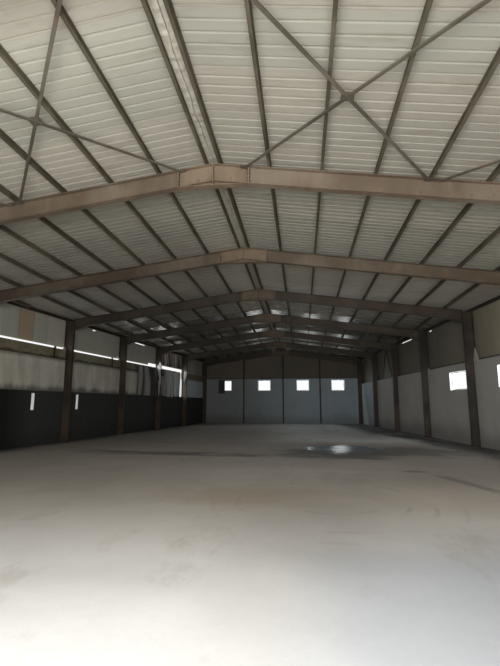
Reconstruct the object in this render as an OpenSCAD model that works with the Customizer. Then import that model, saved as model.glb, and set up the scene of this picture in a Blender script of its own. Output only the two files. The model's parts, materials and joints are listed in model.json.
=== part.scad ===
// Steel portal-frame factory hall, seen from inside towards its rear gable.
// Millimetres. X runs across the hall, Y along it with the rear gable at +Y, Z up.
// The origin is under the middle of the floor slab.

/* [Hall] */
// Distance between the two gable frames
hall_l = 36000; // [20000:500:38000]
// Number of bays between the gable frames
bay_count = 8; // [8:1:8]
// Half width at the front gable, to the wall's inner face
front_half = 9700; // [9400:50:10200]
// Half width at the rear gable, to the wall's inner face
rear_half = 6400; // [6200:50:7200]
// Height of a rafter's top at the wall, over the floor
eave_h = 4925; // [4800:25:5600]
// Rise of the roof over its run
roof_slope = 0.14; // [0.10:0.01:0.20]
// Thickness of the floor slab
slab_t = 150; // [100:10:300]

/* [Frames] */
// Depth of a rafter
rafter_d = 360; // [300:10:420]
// Width of a rafter's flanges
rafter_w = 160; // [120:10:180]
// Depth of a column
column_d = 360; // [280:10:400]
// Width of a column's flanges
column_w = 150; // [120:10:180]
// Thickness of the flanges
flange_t = 13; // [10:1:20]
// Thickness of the webs
web_t = 8; // [6:1:14]
// Half length of the piece at the top of a frame
apex_half = 700; // [500:10:900]
// Length of the haunch under a rafter at its column
haunch_l = 620; // [400:10:900]
// Depth of that haunch at the column
haunch_d = 110; // [60:10:240]

/* [Purlins and bracing] */
// Distance between two purlins
purlin_gap = 1000; // [900:10:1200]
// Distance of the first purlin from the ridge
purlin_first = 1100; // [900:10:1200]
// Depth of a purlin
purlin_d = 120; // [100:10:160]
// Width of a purlin's flanges
purlin_w = 52; // [44:2:80]
// Distance of each ridge purlin from the ridge
ridge_purlin_x = 130; // [100:10:200]
// Frame where the braced bay of the roof begins, counted from the front
braced_bay = 1; // [1:1:1]
// Width of a bracing bar
brace_w = 50; // [40:5:70]

/* [Roof sheets] */
// Distance between two ribs
rib_pitch = 190; // [160:5:300]
// Height of a rib
rib_h = 28; // [20:1:50]
// Thickness of a sheet
sheet_t = 6; // [4:1:10]
// How far the sheets pass the outside of the walls
eave_lap = 150; // [100:10:300]

/* [Walls] */
// Thickness of the block walls
wall_t = 200; // [150:10:300]
// How far the block walls stand inside the upper cladding
wall_proud = 110; // [60:10:120]
// Thickness of the upper cladding
clad_t = 60; // [40:5:80]
// Top of the block wall on the right
right_wall_h = 3070; // [2900:10:3300]
// Top of the block walls of the gables
gable_wall_h = 3500; // [3450:10:3700]
// Top of the dark block wall on the left
left_wall_h = 2000; // [1950:10:2200]
// Top of the stained panels on the left
left_panel_h = 3280; // [3200:10:3400]
// Depth of the rail over those panels
left_rail_d = 420; // [300:10:460]
// Height of the open slot over that rail
slot_h = 100; // [60:10:160]
// Height of the slot where the wall has come loose
loose_slot_h = 220; // [170:10:300]

/* [Windows and doorway] */
// Width of a gable window
gable_win_w = 1000; // [900:10:1100]
// Sill of a gable window
gable_win_sill = 2550; // [2400:10:2700]
// Head of a gable window
gable_win_head = 3390; // [3300:10:3420]
// Width of a window in the right wall
side_win_w = 1490; // [1200:10:1600]
// Sill of a window in the right wall
side_win_sill = 2060; // [1900:10:2200]
// Head of a window in the right wall
side_win_head = 2780; // [2600:10:2900]
// Width of the vehicle doorway
door_w = 4600; // [4000:50:5000]
// Height of the vehicle doorway
door_h = 4200; // [3900:50:4300]

/* [Hidden] */

bay = hall_l / bay_count;
mid_y = hall_l / 2;
gable_gap = 110;                        // frame line to the inner face of a gable wall
gable_in = mid_y + gable_gap;
gable_out = gable_in + wall_t;
wall_out = wall_t - wall_proud;         // how far the block walls stand outside the cladding's inner face
left_rail_h = left_panel_h + left_rail_d;
rail_w = 60;                            // side of a square wall rail
taper = (front_half - rear_half) / hall_l;
roof_drop = roof_slope * taper;         // how much the ridge falls for each unit along the hall
tilt_a = atan(roof_drop);
cross_slope = roof_slope * cos(tilt_a);
roof_a = atan(cross_slope);
column_gap = taper * column_w / 2 + 1;  // clears the slanted wall behind a square flange
purlin_rise = purlin_d / cos(roof_a);   // height of a purlin over the rafters, measured upright
clear = 2;                              // small clearance under the sheets

steel = "dimgray";
rust = "sienna";
sheet_grey = "gainsboro";
panel_grey = "lightsteelblue";
block_grey = "slategray";

// Half width to the walls' inner faces, at a distance y along the hall
function half_at(y) = front_half - taper * (y + mid_y);
// Place of a frame, counted from the front gable
function frame_y(n) = -mid_y + n * bay;
// Height of the rafters' top plane
function rafter_top(x, y) = slab_t + eave_h + roof_slope * (half_at(y) - abs(x));
// Top of the rafters of a frame, level with the lower edge of their flanges
function frame_top(x, y) = rafter_top(x, y + rafter_w / 2);
// Underside of the roof sheets
function sheet_z(x, y) = rafter_top(x, y) + purlin_rise;

// Draws the right-hand version, or its mirror image on the left
module on_side(side) {
    if (side > 0) children();
    else mirror([1, 0, 0]) children();
}

// A solid of even thickness along Y, drawn as an outline of x and z
module slab_y(y, t, pts) {
    translate([0, y + t / 2, 0]) rotate([90, 0, 0]) linear_extrude(t) polygon(pts);
}

// A bar of the roof's slope, from x0 to x1, whose top starts at z0
module sloped_bar(y, w, x0, x1, z0, d) {
    z1 = z0 - roof_slope * (x1 - x0);
    slab_y(y, w, [[x0, z0], [x1, z1], [x1, z1 - d], [x0, z0 - d]]);
}

// A stretch of side wall, measured from the slanted inner face outwards
module side_band(y0, y1, in_x, out_x, z0, z1) {
    translate([0, 0, slab_t + z0]) linear_extrude(z1 - z0)
        polygon([[half_at(y0) + in_x, y0], [half_at(y0) + out_x, y0],
                 [half_at(y1) + out_x, y1], [half_at(y1) + in_x, y1]]);
}

// A hole through a side wall
module side_hole(y0, y1, z0, z1) {
    side_band(y0, y1, -wall_t, 2 * wall_t, z0, z1);
}

// An upright I section, its depth along X, with its outer face at x
module i_post(x, y, d, w, z0, z1) {
    for (face = [0, 1])
        translate([x - d + face * (d - flange_t), y - w / 2, z0]) cube([flange_t, w, z1 - z0]);
    translate([x - d + flange_t / 2, y - web_t / 2, z0]) cube([d - flange_t, web_t, z1 - z0]);
}

// An outline of an I section that stands on the origin
module i_outline(d, w, tf, tw) {
    translate([-w / 2, 0]) square([w, tf]);
    translate([-tw / 2, 0]) square([tw, d]);
    translate([-w / 2, d - tf]) square([w, tf]);
}

// The roof's own frame: its Y follows the falling ridge, its origin is at the middle of the ridge
module roof_frame() {
    translate([0, 0, rafter_top(0, 0)]) rotate([-tilt_a, 0, 0]) children();
}

// A straight bar between two points, with its top face level with them
module bar(a, b, w, t) {
    v = b - a;
    run = norm([v[0], v[1]]);
    translate(a) rotate([0, -atan2(v[2], run), atan2(v[1], v[0])])
        translate([0, -w / 2, -t]) cube([norm(v), w, t]);
}

// An upright outline of y and z on the inner face of a side wall, of thickness t outwards from in_x
module on_wall_face(y, in_x, t) {
    translate([half_at(y), y, slab_t]) rotate([0, 0, atan(taper)]) translate([in_x, 0, 0])
        rotate([90, 0, 90]) linear_extrude(t) children();
}

module floor_slab() {
    out_front = half_at(-gable_out) + wall_out;
    out_rear = half_at(gable_out) + wall_out;
    color("silver") linear_extrude(slab_t)
        polygon([[-out_front, -gable_out], [out_front, -gable_out],
                 [out_rear, gable_out], [-out_rear, gable_out]]);
}

// Columns

base_plate = [420, 260, 20];
column_top = slab_t + eave_h - 2;

module columns(side) {
    color(steel) on_side(side) for (n = [0 : bay_count]) {
        y = frame_y(n);
        x = half_at(y) - column_gap;
        i_post(x, y, column_d, column_w, slab_t, column_top);
        translate([x - base_plate[0], y - column_w / 2, slab_t])
            cube([base_plate[0], column_w, base_plate[2]]);
    }
}

// The room that the columns take out of a wall between two heights
module column_pockets(z0, z1) {
    for (n = [0 : bay_count]) {
        y = frame_y(n);
        translate([half_at(y) - column_gap - column_d, y - column_w / 2, slab_t + z0 - 1])
            cube([column_d, column_w, z1 - z0 + 2]);
    }
}

// Rafters with flanges, a web and end plates, from the apex piece to the column's inner face

plate_t = 15;

function rafter_end(y) = half_at(y) - column_gap - column_d;

module rafters(side) {
    pocket_w = (rafter_w - web_t) / 2;
    color(rust) on_side(side) for (n = [0 : bay_count]) {
        y = frame_y(n);
        x0 = apex_half;
        x1 = rafter_end(y);
        difference() {
            sloped_bar(y, rafter_w, x0, x1, frame_top(x0, y), rafter_d);
            for (face = [-1, 1])
                sloped_bar(y + face * (web_t / 2 + pocket_w), 2 * pocket_w, x0 + plate_t,
                           x1 - plate_t, frame_top(x0 + plate_t, y) - flange_t,
                           rafter_d - 2 * flange_t);
        }
    }
}

// The piece at the top of a frame. The rafters' lower flange runs on in it, over a flat foot.
haunch_tip = 120;           // where that flange meets the foot, from the piece's end

module apex_pieces() {
    color("tan") for (n = [0 : bay_count]) {
        y = frame_y(n);
        ridge = frame_top(0, y);
        end = frame_top(apex_half, y);
        foot = end - rafter_d;
        slab_y(y, web_t, [[-apex_half, end], [0, ridge], [apex_half, end],
                          [apex_half, foot], [-apex_half, foot]]);
        slab_y(y, rafter_w, [[-apex_half, foot], [apex_half, foot],
                             [apex_half, foot + flange_t], [-apex_half, foot + flange_t]]);
        for (side = [-1, 1]) on_side(side) {
            sloped_bar(y, rafter_w, 0, apex_half, ridge, flange_t);
            sloped_bar(y, rafter_w, 0, apex_half - haunch_tip, ridge - rafter_d + flange_t, flange_t);
            slab_y(y, rafter_w, [[apex_half - plate_t, foot], [apex_half, foot],
                                 [apex_half, end], [apex_half - plate_t, end]]);
        }
        slab_y(y, rafter_w, [[-web_t, foot], [web_t, foot],
                             [web_t, ridge - flange_t], [-web_t, ridge - flange_t]]);
    }
}

module eave_haunches(side) {
    color(rust) on_side(side) for (n = [0 : bay_count]) {
        y = frame_y(n);
        x1 = rafter_end(y);
        x0 = x1 - haunch_l;
        z0 = frame_top(x0, y) - rafter_d;
        z1 = frame_top(x1, y) - rafter_d;
        slab_y(y, web_t, [[x0, z0], [x1, z1], [x1, z1 - haunch_d]]);
        slab_y(y, rafter_w, [[x0, z0], [x0 + haunch_l / 8, z0 - roof_slope * haunch_l / 8],
                             [x1, z1 - haunch_d + flange_t], [x1, z1 - haunch_d]]);
        slab_y(y, rafter_w, [[x1 - plate_t, z1 + roof_slope * plate_t], [x1, z1],
                             [x1, z1 - haunch_d], [x1 - plate_t, z1 - haunch_d]]);
    }
}

// Purlins lie on the rafters, level with the roof's slope. The outer ones stop at the slanted wall.

last_purlin = floor((front_half - purlin_first - 200) / purlin_gap);
purlin_stop = gable_in - 5;

function purlin_x(k) = purlin_first + k * purlin_gap;
function purlin_end(x) = min(purlin_stop, (front_half - x - 170) / taper - mid_y);

module purlin(x, y1) {
    roof_frame() translate([0, y1, 0]) rotate([90, 0, 0]) linear_extrude(y1 + purlin_stop)
        translate([x, -cross_slope * x]) rotate(-roof_a)
            i_outline(purlin_d, purlin_w, 7, 6);
}

module purlins(side) {
    color(steel) on_side(side) for (k = [0 : last_purlin])
        purlin(purlin_x(k), purlin_end(purlin_x(k)));
}

module ridge_purlins() {
    color(steel) for (side = [-1, 1]) on_side(side) purlin(ridge_purlin_x, purlin_stop);
}

// A level beam on the column heads, against the upper cladding

beam_w = 60;
beam_d = 110;

module eave_beam(side) {
    color(steel) on_side(side)
        side_band(-gable_in, gable_in, -beam_w, 0, eave_h - 2, eave_h + beam_d);
}

// Roof sheets with upright ribs every rib_pitch, seen in section along the ridge

rib_count = ceil((2 * gable_out + 100) / rib_pitch);
sheet_l = rib_count * rib_pitch;
ridge_gap = 70;
rib_foot = 48;
rib_top = 26;

// One rib's corners, counted from the start of its pan
function rib_pts(start, lift) = [
    [start, lift], [start + rib_pitch - rib_foot, lift],
    [start + rib_pitch - (rib_foot + rib_top) / 2, lift + rib_h],
    [start + rib_pitch - (rib_foot - rib_top) / 2, lift + rib_h]];

function flip(pts) = [for (i = [len(pts) - 1 : -1 : 0]) pts[i]];

module sheet_outline() {
    top = [for (i = [0 : rib_count - 1]) each rib_pts(i * rib_pitch - sheet_l / 2, sheet_t)];
    foot = [for (i = [0 : rib_count - 1]) each rib_pts(i * rib_pitch - sheet_l / 2, 0)];
    polygon(concat([[-sheet_l / 2, 0]], foot, [[sheet_l / 2, 0], [sheet_l / 2, sheet_t]],
                   flip(top)));
}

module roof_sheets(side) {
    reach = (front_half + wall_t + eave_lap + 200) / cos(roof_a);
    lap = wall_out + eave_lap;
    color(sheet_grey) on_side(side) difference() {
        roof_frame() rotate([0, roof_a, 0]) translate([ridge_gap, 0, purlin_d])
            rotate([90, 0, 90]) linear_extrude(reach) sheet_outline();
        linear_extrude(3 * eave_h)
            polygon([[half_at(-hall_l) + lap, -hall_l], [3 * front_half, -hall_l],
                     [3 * front_half, hall_l], [half_at(hall_l) + lap, hall_l]]);
    }
}

// The folded cap over the open joint at the ridge

cap_wing = 260;

module ridge_cap() {
    lift = purlin_d + rib_h + sheet_t;
    cap_t = 5;
    rise = lift / cos(roof_a);
    edge = rise - cross_slope * cap_wing;
    color("whitesmoke") roof_frame() translate([0, sheet_l / 2, 0]) rotate([90, 0, 0])
        linear_extrude(sheet_l) polygon([
            [-cap_wing, edge], [0, rise], [cap_wing, edge],
            [cap_wing, edge + cap_t], [0, rise + cap_t], [-cap_wing, edge + cap_t]]);
}

// Crossed bars in the plane of the rafters' top flanges, in one bay near the front

brace_mid = purlin_x(3) + 200;
brace_out = rafter_end(frame_y(braced_bay + 1)) - 57;
// Each panel's ends at the near frame and at the far one
brace_near = [[apex_half - 200, brace_mid + 50], [brace_mid + 260, brace_out]];
brace_far = [[apex_half - 80, brace_mid - 260], [brace_mid - 70, brace_out]];
brace_drop = flange_t + 12;
gusset = 190;
gusset_t = 10;

function brace_pt(p) = [p[0], p[1], rafter_top(p[0], p[1]) - brace_drop];

// Where two lines in plan cross
function crossing(a, b, c, d) =
    let (u = b - a, v = d - c, w = c - a)
    a + u * (w[0] * v[1] - w[1] * v[0]) / (u[0] * v[1] - u[1] * v[0]);

module brace_plate(p, w, t) {
    bar(brace_pt([p[0] - w / 2, p[1]]), brace_pt([p[0] + w / 2, p[1]]), t, gusset_t);
}

module roof_bracing(side) {
    y0 = frame_y(braced_bay) + web_t / 2 + 40;
    y1 = frame_y(braced_bay + 1) - web_t / 2 - 40;
    color(rust) on_side(side) for (i = [0, 1]) {
        a = [brace_near[i][0], y0];
        b = [brace_near[i][1], y0];
        c = [brace_far[i][0], y1];
        d = [brace_far[i][1], y1];
        bar(brace_pt(a), brace_pt(d), brace_w, brace_w / 2);
        bar(brace_pt(b), brace_pt(c), brace_w, brace_w / 2);
        brace_plate(crossing(a, d, b, c), gusset, gusset);
        for (p = [a, b]) brace_plate(p + [0, 20], 160, 120);
        for (p = [c, d]) brace_plate(p - [0, 20], 160, 120);
    }
}

// Right side wall

side_win_bays = [0, 1, 2, 3, 4];
frame_t = 45;
frame_deep = 70;

side_win_place = [0.3, 0.3, 0.3, 0.48, 0.3];    // of a bay, from its front frame

function side_win_y(n) = frame_y(n) + side_win_place[n] * bay;

// The block walls stand proud of the cladding and close round the columns
module right_lower_wall() {
    color(block_grey) difference() {
        side_band(-gable_in, gable_in, -wall_proud, wall_out, 0, right_wall_h);
        column_pockets(0, right_wall_h);
        for (n = side_win_bays)
            side_hole(side_win_y(n) - side_win_w / 2, side_win_y(n) + side_win_w / 2,
                      side_win_sill, side_win_head);
    }
}

// A stretch of cladding from a given height to just under the roof sheets
module upper_cladding(y0, y1, z0) {
    side_band(y0, y1, 0, clad_t, z0,
              eave_h + purlin_rise - roof_slope * clad_t - clear);
}

// Thin gaps under the eave beam where daylight comes in, along each side wall
eave_gap_h = 60;
right_eave_gaps = [[3900, 4300], [6600, 8300], [17450, 17750]];
left_eave_gaps = [[1950, 2250], [6150, 7450]];

module eave_gaps(places) {
    for (g = places) side_hole(g[0], g[1], eave_h - 20 - eave_gap_h, eave_h - 20);
}

module right_upper_cladding() {
    color(panel_grey) difference() {
        upper_cladding(-gable_in, gable_in, right_wall_h);
        eave_gaps(right_eave_gaps);
    }
}

// Short rails between the columns, on the ledge of the block wall
module right_wall_rail() {
    color(steel) for (n = [0 : bay_count - 1])
        side_band(frame_y(n) + column_w / 2 + 5, frame_y(n + 1) - column_w / 2 - 5,
                  -rail_w, 0, right_wall_h, right_wall_h + rail_w);
}

// Two bars that lean together under the eave beam and stand on the rail, in one rear bay
wall_braced_bay = 6;
wall_brace_w = 40;
wall_brace_spread = 0.22 * bay;

module right_wall_bracing() {
    w = wall_brace_w;
    s = wall_brace_spread;
    low = right_wall_h + rail_w;
    top = eave_h - 2;
    color(steel) on_wall_face(frame_y(wall_braced_bay) + bay / 2, -rail_w + 5, w)
        polygon([[-s - w, low], [-s, low], [0, low + (top - low) * s / (s + w / 2)], [s, low],
                 [s + w, low], [w / 2, top], [-w / 2, top]]);
}

module right_window_frames() {
    color("gray") for (n = side_win_bays) {
        y0 = side_win_y(n) - side_win_w / 2;
        y1 = side_win_y(n) + side_win_w / 2;
        difference() {
            side_band(y0, y1, 0, frame_deep, side_win_sill, side_win_head);
            side_hole(y0 + frame_t, y1 - frame_t, side_win_sill + frame_t, side_win_head - frame_t);
        }
    }
}

// Left side wall: dark blocks, stained panels, a rail, an open slot and the upper cladding

slit_w = 170;
slit_z = [1290, 1900];
slit_y = [-1900, 820];
panel_t = 80;
loose_y0 = 7900;            // from here to the last bay the wall has come loose
loose_y1 = frame_y(bay_count - 1) - column_w / 2;
gap_y0 = loose_y1 - 620;    // the upright gap of light before the last bay
last_y0 = frame_y(bay_count - 1);
strut_w = 60;
strut_y = [-600, 3830];
seat = 0.3;                 // running gap under a strut

module left_lower_wall() {
    color("dimgray") on_side(-1) difference() {
        side_band(-gable_in, gable_in, -wall_proud, wall_out, 0, left_wall_h);
        column_pockets(0, left_wall_h);
        for (y = slit_y) side_hole(y, y + slit_w, slit_z[0], slit_z[1]);
    }
}

// One panel between each two columns. The last one is taller and thicker and closes the slot.
module left_wall_panels() {
    color("darkgray") on_side(-1) difference() {
        union() {
            side_band(-gable_in, gap_y0, -wall_proud, panel_t - wall_proud, left_wall_h, left_panel_h);
            side_band(last_y0, gable_in, -wall_proud, wall_out, left_wall_h, left_rail_h);
        }
        column_pockets(left_wall_h, left_rail_h);
    }
}

// The rail over the panels, with two struts across the slot
module left_wall_rail() {
    color("darkseagreen") on_side(-1) {
        difference() {
            side_band(-gable_in, gap_y0, -wall_proud, wall_out, left_panel_h, left_rail_h);
            column_pockets(left_panel_h, left_rail_h);
        }
        for (y = strut_y)
            side_band(y, y + strut_w, 0, clad_t, left_rail_h + seat, left_rail_h + slot_h);
    }
}

module left_upper_cladding() {
    color(panel_grey) on_side(-1) difference() {
        union() {
            upper_cladding(-gable_in, loose_y0, left_rail_h + slot_h);
            upper_cladding(loose_y0, last_y0, left_rail_h + loose_slot_h);
            upper_cladding(last_y0, gable_in, left_rail_h);
        }
        eave_gaps(left_eave_gaps);
    }
}

// A bent sheet with upright folds of uneven depth, whose valleys touch the face at in_x
module folded_sheet(y0, y1, in_x, z0, z1, folds, depth) {
    t = 8;
    last = 2 * folds;
    y = [for (i = [0 : last]) y0 + (y1 - y0) * i / last];
    out = [for (i = [0 : last]) i % 2 == 0 ? 0 : depth * (0.65 + 0.35 * sin(i * 77))];
    face = [for (i = [0 : last]) [half_at(y[i]) + in_x - out[i], y[i]]];
    back = [for (i = [last : -1 : 0]) [half_at(y[i]) + in_x - out[i] - t, y[i]]];
    translate([0, 0, slab_t + z0]) linear_extrude(z1 - z0) polygon(concat(face, back));
}

// Bent sheets that hang on the left wall in the rear bays: two on the panels, one over the slot
// and a narrow one across it
module left_loose_sheets() {
    low = left_wall_h - 60;
    under = left_rail_h - 60;
    over = left_rail_h + loose_slot_h + 20;
    y5 = frame_y(5);
    y6 = frame_y(6);
    color("darkslategray") on_side(-1) {
        folded_sheet(y5 + 0.38 * bay, y6 - column_w, -wall_proud, low, under, 5, 90);
        folded_sheet(y6 + 0.17 * bay, gap_y0 - 50, -wall_proud, low, under, 7, 80);
        folded_sheet(y6 + 0.13 * bay, last_y0 - 200, 0, over, eave_h - 40, 9, 50);
        folded_sheet(y6 + column_w, y6 + 0.15 * bay, -wall_proud, left_panel_h - 300, over + 220, 1, 60);
    }
}

// Gable walls

rear_posts = [-2950, 200, 3100];
rear_windows = [-4450, -1300, 1750, 4480];
post_d = 160;
post_w = 120;
door_post = door_w / 2 + post_w;
front_posts = [-6100, -door_post, door_post, 6100];
front_windows = [-7700, -4300, 4300, 7700];
leaf_t = post_d - 15;       // inner leaf of the gable walls, which closes round the posts

function gable_half(y) = half_at(y) + wall_out;

// Draws the rear version, or its mirror image at the front
module on_gable(end) {
    if (end > 0) children();
    else mirror([0, 1, 0]) children();
}

// A window hole in a gable wall
module gable_hole(x) {
    translate([x - gable_win_w / 2, gable_in - 2 * leaf_t, slab_t + gable_win_sill])
        cube([gable_win_w, 2 * leaf_t + 2 * wall_t, gable_win_head - gable_win_sill]);
}

module gable_frames(y, places) {
    color("gray") for (x = places)
        translate([x - gable_win_w / 2, y - frame_deep / 2, slab_t + gable_win_sill]) difference() {
            cube([gable_win_w, frame_deep, gable_win_head - gable_win_sill]);
            translate([frame_t, -1, frame_t])
                cube([gable_win_w - 2 * frame_t, frame_deep + 2,
                      gable_win_head - gable_win_sill - 2 * frame_t]);
        }
}

// The block part of a gable between x0 and x1, in plan. Its inner leaf stops clear of the columns.
module gable_plan(x0, x1, end) {
    reach = half_at(end * gable_in) - column_d - 60;
    l0 = max(x0, -reach);
    l1 = min(x1, reach);
    leaf = gable_in - leaf_t;
    polygon(concat([[x0, gable_out], [x1, gable_out]],
                   l1 < x1 ? [[x1, gable_in], [l1, gable_in]] : [],
                   [[l1, leaf], [l0, leaf]],
                   l0 > x0 ? [[l0, gable_in], [x0, gable_in]] : []));
}

module gable_blocks(x0, x1, end, places, posts) {
    color(block_grey) on_gable(end) difference() {
        translate([0, 0, slab_t]) linear_extrude(gable_wall_h) gable_plan(x0, x1, end);
        for (x = places) gable_hole(x);
        for (x = posts)
            translate([x - post_w / 2, gable_in - post_d, slab_t - 1])
                cube([post_w, post_d, gable_wall_h + 2]);
    }
}

// The clad part of a gable, from the blocks to the underside of the sheets
module gable_cladding(y, half_w) {
    z0 = slab_t + gable_wall_h;
    low = abs(y) + clad_t / 2;
    y_low = y > 0 ? low : -low + clad_t;
    slab_y(y, clad_t, [[-half_w, z0], [half_w, z0], [half_w, sheet_z(half_w, y_low) - clear],
                       [0, sheet_z(0, y_low) - clear], [-half_w, sheet_z(half_w, y_low) - clear]]);
}

wall_mid = gable_in + wall_t / 2;
clad_mid = gable_in + clad_t / 2;

module rear_wall() {
    w = gable_half(gable_out);
    gable_blocks(-w, w, 1, rear_windows, rear_posts);
}

// Gaps over the rafters, beside the ridge
rear_gaps = [[-640, -460], [430, 720]];

module rear_upper_cladding() {
    color(panel_grey) difference() {
        gable_cladding(clad_mid, half_at(gable_out) + clad_t);
        for (g = rear_gaps)
            translate([g[0], gable_in - clad_t, rafter_top(max(abs(g[0]), abs(g[1])), gable_in) + 25])
                cube([g[1] - g[0], 3 * clad_t, 70]);
    }
}

// Upright posts in the plane of a gable frame, under its rafters
module gable_posts(y, places) {
    color(steel) for (x = places) {
        top = rafter_top(max(abs(x) + post_w / 2, apex_half), y + post_d / 2) - rafter_d;
        for (face = [0, 1])
            translate([x - post_w / 2, y + face * (post_d - flange_t) - post_d / 2, slab_t])
                cube([post_w, flange_t, top - slab_t]);
        translate([x - web_t / 2, y - post_d / 2 + 1, slab_t]) cube([web_t, post_d - 2, top - slab_t]);
    }
}

module rear_wall_posts() {
    gable_posts(mid_y + gable_gap - post_d / 2, rear_posts);
}

// Rails on the ledge of the gable's inner leaf, between the posts
module rear_wall_rail() {
    first = half_at(mid_y) - column_d - column_gap - post_w / 2;
    stops = concat([-first], rear_posts, [first]);
    color(steel) for (i = [0 : len(stops) - 2])
        translate([stops[i] + post_w / 2 + 5, gable_in - rail_w, slab_t + gable_wall_h])
            cube([stops[i + 1] - stops[i] - post_w - 10, rail_w, rail_w]);
}

module rear_window_frames() {
    gable_frames(wall_mid, rear_windows);
}

// The first window is half covered by a dark board on the inside
module rear_window_board() {
    t = 20;
    color("darkslategray") translate([rear_windows[0] - 560, gable_in - leaf_t - t, 
                                       slab_t + gable_win_sill - 200])
        cube([520, t, gable_win_head - gable_win_sill + 240]);
}

module front_wall_left() {
    gable_blocks(-gable_half(-gable_out), -door_w / 2, -1, [front_windows[0], front_windows[1]],
                 [front_posts[0], front_posts[1]]);
}

module front_wall_right() {
    gable_blocks(door_w / 2, gable_half(-gable_out), -1, [front_windows[2], front_windows[3]],
                 [front_posts[2], front_posts[3]]);
}

module front_upper_cladding() {
    color(panel_grey) difference() {
        gable_cladding(-clad_mid, half_at(-gable_in) + clad_t);
        translate([-door_w / 2, -gable_out, slab_t + gable_wall_h - 1])
            cube([door_w, 2 * wall_t, door_h - gable_wall_h + 1]);
    }
}

module front_wall_posts() {
    gable_posts(-mid_y - gable_gap + post_d / 2, front_posts);
}

// Steel lining of the doorway: two jambs and a head
module front_door_frame() {
    lining = 60;
    color(steel) slab_y(-wall_mid, wall_t, [
        [-door_w / 2, slab_t], [-door_w / 2, slab_t + door_h], [door_w / 2, slab_t + door_h],
        [door_w / 2, slab_t], [door_w / 2 - lining, slab_t],
        [door_w / 2 - lining, slab_t + door_h - lining],
        [-door_w / 2 + lining, slab_t + door_h - lining], [-door_w / 2 + lining, slab_t]]);
}

module front_window_frames() {
    gable_frames(-wall_mid, front_windows);
}

// Folded trim along the sloping edges of a gable

verge_y = sheet_l / 2 + 26;

// A band that follows the roof's outline at y, between two heights over the sheets' underside
function verge_band(reach, y, high, low) = [
    [-reach, sheet_z(reach, y) + high], [0, sheet_z(0, y) + high], [reach, sheet_z(reach, y) + high],
    [reach, sheet_z(reach, y) + low], [0, sheet_z(0, y) + low], [-reach, sheet_z(reach, y) + low]];

// An angle: its upright leg hides the sheets' ends, its flat leg lies over them beside the ridge cap
module verge_trim(y, dir) {
    reach = half_at(y) + wall_out + eave_lap;
    trim_t = 6;
    top = (rib_h + sheet_t) / cos(roof_a) + trim_t + 3;
    drop = 130;
    flap = 280;
    color(sheet_grey) difference() {
        slab_y(y - dir * (flap / 2 - trim_t), flap, verge_band(reach, y, top, -drop));
        slab_y(y - dir * flap / 2, flap, verge_band(2 * reach, y, top - trim_t, -2 * drop));
        translate([-cap_wing, y - flap * (1 + dir) / 2, sheet_z(cap_wing, y)])
            cube([2 * cap_wing, flap, 4 * top]);
    }
}

module front_verge_trim() {
    verge_trim(-verge_y, -1);
}

module rear_verge_trim() {
    verge_trim(verge_y, 1);
}

module left_columns() { columns(-1); }
module right_columns() { columns(1); }
module left_rafters() { rafters(-1); }
module right_rafters() { rafters(1); }
module left_eave_haunches() { eave_haunches(-1); }
module right_eave_haunches() { eave_haunches(1); }
module left_purlins() { purlins(-1); }
module right_purlins() { purlins(1); }
module left_eave_beam() { eave_beam(-1); }
module right_eave_beam() { eave_beam(1); }
module left_roof_sheets() { roof_sheets(-1); }
module right_roof_sheets() { roof_sheets(1); }
module left_roof_bracing() { roof_bracing(-1); }
module right_roof_bracing() { roof_bracing(1); }

floor_slab();
left_columns();
right_columns();
left_rafters();
right_rafters();
apex_pieces();
left_eave_haunches();
right_eave_haunches();
left_purlins();
right_purlins();
ridge_purlins();
left_eave_beam();
right_eave_beam();
left_roof_sheets();
right_roof_sheets();
ridge_cap();
left_roof_bracing();
right_roof_bracing();
right_lower_wall();
right_upper_cladding();
right_wall_rail();
right_wall_bracing();
right_window_frames();
left_lower_wall();
left_wall_panels();
left_wall_rail();
left_upper_cladding();
left_loose_sheets();
rear_wall();
rear_upper_cladding();
rear_wall_posts();
rear_wall_rail();
rear_window_frames();
rear_window_board();
front_wall_left();
front_wall_right();
front_upper_cladding();
front_wall_posts();
front_door_frame();
front_window_frames();
front_verge_trim();
rear_verge_trim();
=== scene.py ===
# %% [markdown]
# A factory hall: a long steel shed whose I-section frames stand in pairs of columns and carry a low ribbed
# roof. The structure comes ready made and at its real size. This lesson gives it its finishes, hangs the
# bent sheets on its left wall, adds the small ironwork, and lights it for an eye just inside the doorway.

# %% Load the frame
import json
import math

import bpy
import numpy as np
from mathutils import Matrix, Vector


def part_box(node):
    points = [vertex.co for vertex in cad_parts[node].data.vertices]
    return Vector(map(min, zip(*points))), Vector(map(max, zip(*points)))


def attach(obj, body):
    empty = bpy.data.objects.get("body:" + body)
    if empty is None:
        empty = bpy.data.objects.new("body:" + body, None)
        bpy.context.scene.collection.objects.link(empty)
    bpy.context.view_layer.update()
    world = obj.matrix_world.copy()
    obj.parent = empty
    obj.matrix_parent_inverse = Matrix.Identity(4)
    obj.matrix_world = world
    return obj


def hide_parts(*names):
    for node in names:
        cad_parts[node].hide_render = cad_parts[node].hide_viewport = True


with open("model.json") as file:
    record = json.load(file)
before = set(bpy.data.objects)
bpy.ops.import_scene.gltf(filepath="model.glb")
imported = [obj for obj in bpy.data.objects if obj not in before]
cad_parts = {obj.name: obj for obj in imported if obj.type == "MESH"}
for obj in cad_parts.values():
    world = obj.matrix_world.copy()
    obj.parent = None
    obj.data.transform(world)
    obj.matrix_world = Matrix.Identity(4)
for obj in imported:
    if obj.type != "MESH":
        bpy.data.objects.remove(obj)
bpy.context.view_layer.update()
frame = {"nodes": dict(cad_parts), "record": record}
nodes = frame["nodes"]
print("nodes in the frame:", len(nodes))

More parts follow.
